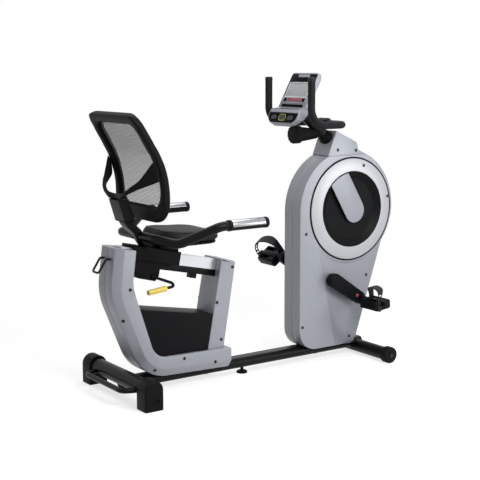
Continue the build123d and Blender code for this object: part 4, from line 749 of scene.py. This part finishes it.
def slab(width, height, thickness, corner, edge):
    """A plate of a size in mm, centred on the origin, its back on the plane z = 0."""
    bpy.ops.mesh.primitive_plane_add(size=0.001)
    plate = bpy.context.object
    take(plate)
    bpy.ops.object.mode_set(mode="EDIT")
    bpy.ops.mesh.select_all(action="SELECT")
    bpy.ops.transform.resize(value=(width, height, 1), center_override=(0, 0, 0))
    if corner:
        bpy.ops.mesh.bevel(offset=corner / 1000, segments=CORNER_STEPS, affect="VERTICES")
    bpy.ops.mesh.select_all(action="SELECT")
    bpy.ops.mesh.remove_doubles(threshold=POINT_REACH)
    bpy.ops.mesh.extrude_region_move(TRANSFORM_OT_translate={"value": (0, 0, thickness / 1000)})
    bpy.ops.mesh.select_all(action="SELECT")
    bpy.ops.mesh.normals_make_consistent(inside=False)
    bpy.ops.object.mode_set(mode="OBJECT")
    rounded(plate, edge)
    return plate


def laid_on(low, high, across_mm, up_mm, lift_mm):
    """The placement on a console face that rises from low to high in the side view."""
    foot = at(low[0], 0, low[1])
    rise = (at(high[0], 0, high[1]) - foot).normalized()
    across = Vector((0, -1, 0))
    out = across.cross(rise)
    spot = foot + rise * up_mm / 1000 + across * across_mm / 1000 + out * lift_mm / 1000
    return Matrix.Translation(spot) @ Matrix((across, rise, out)).transposed().to_4x4()


print("slab helpers ready")

# %% [markdown]
# The console's upper face is a black acrylic panel round a pale display in a white frame, with
# a bare silver plate above it. Below are a bar of red lights between two black ends on a grey
# strip, the tray, and the black key panel with its round lower edge and three keys.

# %% Console panels
KEY_FACE = ((804, 1083), (823, 1128))
DISPLAY_FACE = ((862, 1146), (942, 1296))
# Face; width, height, thickness, corner and edge; place across, up and out, all in mm; finish.
PANELS = [
    ("display_panel", DISPLAY_FACE, (176, 108, 1.6, 8, 0.6), (0, 110, 0), panel_acrylic),
    ("plain_badge_plate", DISPLAY_FACE, (78, 13, 1.2, 3, 0.5), (0, 154, 1.4), silver_lacquer),
    ("light_strip", DISPLAY_FACE, (176, 30, 1.6, 4, 0.6), (0, 36, 0), silver_lacquer),
    ("light_bar", DISPLAY_FACE, (98, 13, 1.6, 2, 0.6), (0, 37, 1.4), red_acrylic),
    ("light_bar_end_right", DISPLAY_FACE, (18, 15, 1.8, 3, 0.6), (64, 37, 1.4), panel_acrylic),
    ("light_bar_end_left", DISPLAY_FACE, (18, 15, 1.8, 3, 0.6), (-64, 37, 1.4), panel_acrylic),
    ("tray_back_panel", DISPLAY_FACE, (150, 13, 1.2, 5, 0.5), (0, 10, 0), panel_acrylic),
]
for name, face, sizes, (across, up, lift), material in PANELS:
    panel = slab(*sizes)
    panel.matrix_world = laid_on(*face, across, up, lift)
    settle(panel, name, material, "console_shell")
print("panels", len(PANELS))

# %% Frame of the display
SCREEN_MIDDLE, SCREEN_LIFT = 85, 0.2
CUT_EDGE = 0.1  # edge of the slabs that only cut, in mm
screen_frame = slab(158, 76, 3.4, 5, 0.8)
trimmed(screen_frame, slab(148, 66, 8, 3, CUT_EDGE), "DIFFERENCE")
screen_frame.matrix_world = laid_on(*DISPLAY_FACE, 0, SCREEN_MIDDLE, SCREEN_LIFT)
settle(screen_frame, "display_frame", white_abs, "console_screen")
print("frame faces", len(screen_frame.data.polygons))

# %% Key panel with its openings
KEY_PITCH, KEY_LENGTH, KEY_WIDTH = 58, 40, 20
KEY_MIDDLE = 24.4
KEY_PANEL_WIDTH, KEY_PANEL_HEIGHT, KEY_PANEL_CORNER = 200, 46, 36
KEY_GAP, RING_GAP, RING_REACH = 1, 1.5, 6  # round a key: to the panel, to the ring and to the ring's rim
RING_LIFT = 0.2
CUT_DEPTH, CUT_SINK = 6, 0.002  # a cutter's depth in mm, and how far in metres it starts below the plate


def key_outline(margin, thickness, edge):
    """A slab as long and wide as a key with a margin all round, its ends half round."""
    return slab(KEY_LENGTH + 2 * margin, KEY_WIDTH + 2 * margin, thickness, KEY_WIDTH / 2 + margin, edge)


key_panel = slab(KEY_PANEL_WIDTH, 2 * KEY_PANEL_HEIGHT, 1.4, KEY_PANEL_CORNER, 0.5)
upper_half = slab(KEY_PANEL_WIDTH + 40, KEY_PANEL_HEIGHT, 8, 0, CUT_EDGE)
upper_half.location = (0, KEY_PANEL_HEIGHT / 2000, -CUT_SINK)
trimmed(key_panel, upper_half, "DIFFERENCE")
key_panel.location = (0, KEY_PANEL_HEIGHT / 2000, 0)
take(key_panel)
bpy.ops.object.transform_apply(location=True, rotation=True, scale=True)
for step in (-1, 0, 1):
    opening = key_outline(KEY_GAP, CUT_DEPTH, CUT_EDGE)
    opening.location = (step * KEY_PITCH / 1000, 0, -CUT_SINK)
    trimmed(key_panel, opening, "DIFFERENCE")
key_panel.matrix_world = laid_on(*KEY_FACE, 0, KEY_MIDDLE, 0)
settle(key_panel, "key_panel", panel_acrylic, "console_shell")
key_ring = key_outline(RING_REACH, 2, 0.5)
ring_opening = key_outline(RING_GAP, CUT_DEPTH, CUT_EDGE)
ring_opening.location = (0, 0, -CUT_SINK)
trimmed(key_ring, ring_opening, "DIFFERENCE")
key_ring.matrix_world = laid_on(*KEY_FACE, 0, KEY_MIDDLE, RING_LIFT)
settle(key_ring, "middle_key_ring", olive_print, "console_shell")
print("key panel faces", len(key_panel.data.polygons))

# %% [markdown]
# Each side of the housing carries a bright ring round a black dish. A black rubber gasket fills
# the gap outside the ring, and a silver tongue reaches from the ring over the dish. The gasket
# starts as a circle that is extruded outwards and then to its height.

# %% Gaskets and tongues on the housing
DISC = (1160, 686)
ROUND_STEPS = 144
GASKET_SIZE = (229.4, 236, 5, 1.5)  # inner and outer radius, depth and edge in mm
GASKET_OUT, TONGUE_OUT = 56.5, 63.5  # distance of their backs from the middle plane
TONGUE_END = (15, -8)
TONGUE_ANGLE = radians(121)
TONGUE_HALF = 55
TONGUE_LENGTH = 360
DISH_RADIUS = 171.5


def hoop(inner, outer, depth, edge):
    """A flat ring of radii in mm round its own z axis."""
    bpy.ops.mesh.primitive_circle_add(vertices=ROUND_STEPS, radius=inner / 1000)
    ring = bpy.context.object
    take(ring)
    bpy.ops.object.mode_set(mode="EDIT")
    bpy.ops.mesh.select_all(action="SELECT")
    bpy.ops.mesh.extrude_edges_move()
    bpy.ops.transform.resize(value=(outer / inner, outer / inner, 1), center_override=(0, 0, 0))
    bpy.ops.mesh.select_all(action="SELECT")
    bpy.ops.mesh.extrude_region_move(TRANSFORM_OT_translate={"value": (0, 0, depth / 1000)})
    bpy.ops.mesh.select_all(action="SELECT")
    bpy.ops.mesh.normals_make_consistent(inside=False)
    bpy.ops.object.mode_set(mode="OBJECT")
    rounded(ring, edge)
    return ring


for side in SIDES:
    turn = -SPREAD[side]
    gasket = hoop(*GASKET_SIZE)
    gasket.matrix_world = on_side(side, *DISC, GASKET_OUT)
    settle(gasket, "ring_gasket_" + side, tyre_rubber, "drive_cover_" + side)
    tongue = slab(TONGUE_LENGTH, 2 * TONGUE_HALF, 5, TONGUE_HALF, 1.5)
    way = Vector((turn * cos(TONGUE_ANGLE), sin(TONGUE_ANGLE), 0))
    middle = Vector((turn * TONGUE_END[0], TONGUE_END[1], 0)) + way * (TONGUE_LENGTH / 2 - TONGUE_HALF)
    tongue.matrix_world = Matrix.Translation(middle / 1000) @ Matrix.Rotation(turn * TONGUE_ANGLE, 4, "Z")
    take(tongue)
    bpy.ops.object.transform_apply(location=True, rotation=True, scale=True)
    bpy.ops.mesh.primitive_cylinder_add(vertices=ROUND_STEPS, radius=DISH_RADIUS / 1000, depth=0.05)
    trimmed(tongue, bpy.context.object, "INTERSECT")
    tongue.matrix_world = on_side(side, *DISC, TONGUE_OUT)
    settle(tongue, "dish_tongue_" + side, silver_lacquer, "cover_dishes")
print("tongue faces", len(tongue.data.polygons))

# %% [markdown]
# The pulse grips are black sleeves with a polished half shell on their upper side, held between a
# collar and a round end cap. The shell starts as a cylinder that is cut along its length.

# %% Pulse grip shells, collars and caps
GRIP_Y, GRIP_Z, GRIP_RADIUS = 300, 707, 21.5
SHELL_X, SHELL_LENGTH, SHELL_LIFT, SHELL_EDGE = 415, 158, 0.8, 1
SHELL_TILT = (0.2, 0.98)  # the shell's middle looks this much outwards and upwards
# Place along x, length and edge in mm.
GRIP_TRIM = {"grip_collar_": (329, 13, 2), "grip_end_": (504, 15, 5)}
TRIM_LIFT = 1
nodes["pulse_grips"].data.materials[0] = black_abs


def round_bar(radius, length, edge, segments=4):
    """A solid bar along x with rounded ends, centred on the origin; sizes in mm."""
    bpy.ops.mesh.primitive_cylinder_add(
        vertices=48, radius=radius / 1000, depth=length / 1000, rotation=(0, pi / 2, 0),
    )
    bar = bpy.context.object
    take(bar)
    bpy.ops.object.transform_apply(location=True, rotation=True, scale=True)
    rounded(bar, edge, segments)
    return bar


for side, spread in SPREAD.items():
    shell = round_bar(GRIP_RADIUS + SHELL_LIFT, SHELL_LENGTH, SHELL_EDGE)
    bpy.ops.object.mode_set(mode="EDIT")
    bpy.ops.mesh.select_all(action="SELECT")
    bpy.ops.mesh.bisect(
        plane_co=(0, 0, 0), plane_no=(0, spread * SHELL_TILT[0], SHELL_TILT[1]), clear_inner=True,
        use_fill=True,
    )
    bpy.ops.object.mode_set(mode="OBJECT")
    shell.location = at(SHELL_X, spread * GRIP_Y, GRIP_Z)
    bpy.ops.object.shade_smooth_by_angle(angle=SMOOTH_ANGLE)
    settle(shell, "pulse_shell_" + side, pulse_steel, "pulse_grips")
    for name, (x, length, edge) in GRIP_TRIM.items():
        collar = round_bar(GRIP_RADIUS + TRIM_LIFT, length, edge)
        collar.location = at(x, spread * GRIP_Y, GRIP_Z)
        settle(collar, name + side, black_abs, "pulse_grips")
print("shell faces", len(shell.data.polygons))

# %% [markdown]
# The straps are soft PVC, moulded in a smooth arch that widens over the foot, with a row of
# square holes in the outer leg for the buckle. A grid is laid along the arch: a leg, the arch
# and a leg. Faces are taken out for the holes before the sheet gets its thickness.

# %% Foot straps
CRANK, CRANK_LENGTH = (1045, 372), 172
CRANK_ANGLES = {"right": radians(-33), "left": radians(147)}
STRAP_SETTINGS = {"right": (radians(6), 62), "left": (radians(38), 86)}  # tilt and height over the pedal
STRAP_MIDDLE, STRAP_HALF = 199, 54.8
STRAP_FOOT = -33
STRAP_THICKNESS = 0.003
STRAP_ROWS = 48
STRAP_COLUMNS = [-0.5, -0.36, -0.24, 0.24, 0.36, 0.5]  # shares of the width; the holes lie in the middle
STRAP_HOLES = (36, 37, 39, 40, 42, 44)  # rows of the outer leg
# Share of the half width from the inner to the outer end, share of the height, distance ahead
# of the spindle and width in mm, along the strap.
STRAP_STATIONS = [
    (-1, 0, 29, 29), (-1, 0.58, 29, 29), (-0.94, 0.84, 24, 38), (-0.6, 0.98, 20, 44), (0, 1, 14, 44),
    (0.6, 0.95, 4, 38), (0.93, 0.78, -10, 26), (1, 0.55, -21.5, 18), (1, 0, -21.5, 18),
]


def crank_point(side, reach):
    """Distance ahead of the rear axis and height of a point on a crank, in mm."""
    angle = CRANK_ANGLES[side]
    return CRANK[0] + reach * cos(angle), CRANK[1] + reach * sin(angle)


def strap_station(along):
    """The strap's four values at a share of its run, on a smooth curve through the stations."""
    last = len(STRAP_STATIONS) - 1
    place = along * last
    index = min(int(place), last - 1)
    t = place - index
    before, first, second, after = (
        STRAP_STATIONS[min(max(k, 0), last)] for k in range(index - 1, index + 3)
    )
    return [
        0.5 * (2 * b + (c - a) * t + (2 * a - 5 * b + 4 * c - d) * t ** 2 + (3 * b - a - 3 * c + d) * t ** 3)
        for a, b, c, d in zip(before, first, second, after)
    ]


def strap_point(along, across, height):
    """Distance ahead of the spindle, distance from the middle plane and height over the pedal, in mm."""
    share, rise, ahead, width = strap_station(along)
    up_mm = STRAP_FOOT + rise * (height - STRAP_FOOT)
    return ahead + across * width, STRAP_MIDDLE + share * STRAP_HALF, up_mm


def foot_strap(side, tilt, height):
    """A strap on the pedal of one side, tilted with the pedal."""
    steps = len(STRAP_COLUMNS) - 1
    bpy.ops.mesh.primitive_grid_add(x_subdivisions=STRAP_ROWS, y_subdivisions=steps, size=1)
    strap = bpy.context.object
    x, z = crank_point(side, CRANK_LENGTH)
    spindle = at(x, 0, z)
    ahead_way = Vector((cos(tilt), 0, sin(tilt)))
    up_way = Vector((-sin(tilt), 0, cos(tilt)))
    bpy.ops.object.mode_set(mode="EDIT")
    bpy.ops.mesh.select_mode(type="FACE")
    bpy.ops.mesh.select_all(action="DESELECT")
    bpy.ops.object.mode_set(mode="OBJECT")
    for face in strap.data.polygons:
        row = int((face.center.x + 0.5) * STRAP_ROWS)
        face.select = row in STRAP_HOLES and abs(face.center.y) < 0.5 / steps
    for vertex in strap.data.vertices:
        column = STRAP_COLUMNS[round((vertex.co.y + 0.5) * steps)]
        ahead_mm, out_mm, up_mm = strap_point(vertex.co.x + 0.5, column, height)
        offset = ahead_way * ahead_mm + up_way * up_mm + Vector((0, SPREAD[side] * out_mm, 0))
        vertex.co = spindle + offset / 1000
    bpy.ops.object.mode_set(mode="EDIT")
    bpy.ops.mesh.delete(type="FACE")
    bpy.ops.mesh.select_all(action="SELECT")
    bpy.ops.mesh.normals_make_consistent(inside=False)
    bpy.ops.mesh.select_mode(type="VERT")
    bpy.ops.object.mode_set(mode="OBJECT")
    applied(strap, "SOLIDIFY", thickness=STRAP_THICKNESS, offset=0)
    applied(strap, "SUBSURF", levels=1, render_levels=1)
    bpy.ops.object.shade_smooth()
    settle(strap, "foot_strap_" + side, strap_pvc, "strap_" + side)
    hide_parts("strap_" + side)
    return strap


for side, settings in STRAP_SETTINGS.items():
    strap = foot_strap(side, *settings)
    print(strap.name, "faces", len(strap.data.polygons))

# %% [markdown]
# Black screws hold the covers together, and two sit in each ring. One screw is modelled, a
# round head with a cross recess, and copies are set on the surface by looking straight in from
# the side and turning each to the face it lands on.

# %% Trim screws
SCREW_RADIUS, SCREW_DEPTH = 0.007, 0.003
SCREW_SLOT = (0.008, 0.0016, 0.0016)
SCREW_EDGE = 0.4
LOOK_FROM = 500  # mm to the side, outside the whole bike
bpy.ops.mesh.primitive_cylinder_add(vertices=24, radius=SCREW_RADIUS, depth=SCREW_DEPTH)
screw_head = bpy.context.object
for turn in (0, pi / 2):
    bpy.ops.mesh.primitive_cube_add(size=1, location=(0, 0, SCREW_DEPTH / 2), rotation=(0, 0, turn))
    slot = bpy.context.object
    slot.scale = SCREW_SLOT
    trimmed(screw_head, slot, "DIFFERENCE")
rounded(screw_head, SCREW_EDGE)
# The piece that carries the screw, or its name without the side, and the place in mm.
SCREWS = [
    ("seat_base_cover_", (-20, 325)), ("seat_base_cover_", (118, 102)), ("seat_base_cover_", (407, 95)),
    ("drive_cover_", (1270, 368)), ("drive_cover_", (1164, 94)),
    ("cover_rings", (1227, 880)), ("cover_rings", (1376, 730)),
    ("seat_base_cover_", (5, 451)), ("seat_base_cover_", (254, 133)), ("leg_cover", (424, 346)),
    ("leg_cover", (445, 184)), ("leg_cover", (503, 490)), ("drive_cover_", (905, 591)),
    ("drive_cover_", (888, 171)), ("neck_cover", (1080, 956)), ("neck_cover", (1185, 950)),
]
count = 0
for side, spread in SPREAD.items():
    for carrier, (x, z) in SCREWS:
        carrier_name = carrier if carrier in nodes else carrier + side
        start = at(x, spread * LOOK_FROM, z)
        hit, spot, normal, _ = shown[carrier_name].ray_cast(start, (0, -spread, 0))
        if not hit:
            continue
        screw = bpy.data.objects.new("screw", screw_head.data.copy())
        bpy.context.scene.collection.objects.link(screw)
        turned = normal.to_track_quat("Z", "Y").to_matrix().to_4x4()
        screw.matrix_world = Matrix.Translation(spot) @ turned
        count += 1
        settle(screw, f"trim_screw_{count}", black_oxide, carrier_name)
bpy.data.objects.remove(screw_head)
print("trim screws", count)

# %% [markdown]
# The handlebar's two uprights end in smooth rubber caps, a little paler than the foam.

# %% Handlebar end caps
CAP_SIZE = (16.8, 22, 7, 5)  # radius, length and edge in mm, and steps of the edge
CAP_X, CAP_Y, CAP_Z = 853, 153, 1268
for side, spread in SPREAD.items():
    cap = round_bar(*CAP_SIZE)
    cap.rotation_euler = (0, pi / 2, 0)
    cap.location = at(CAP_X, spread * CAP_Y, CAP_Z)
    settle(cap, "handlebar_cap_" + side, strap_pvc, "handlebar")
print("handlebar caps", len(SPREAD))

# %% [markdown]
# A red plug closes the hole beside each pedal in the end of its crank.

# %% Crank plugs
PLUG_REACH, PLUG_OUT = 146, 102
PLUG_SIZE = (8, 8, 2)  # radius, length and edge in mm
for side in SIDES:
    plug = round_bar(*PLUG_SIZE)
    place = on_side(side, *crank_point(side, PLUG_REACH), PLUG_OUT)
    plug.matrix_world = place @ Matrix.Rotation(pi / 2, 4, "Y")
    settle(plug, "crank_plug_" + side, red_acrylic, "crank_" + side)
print("crank plugs", len(SIDES))
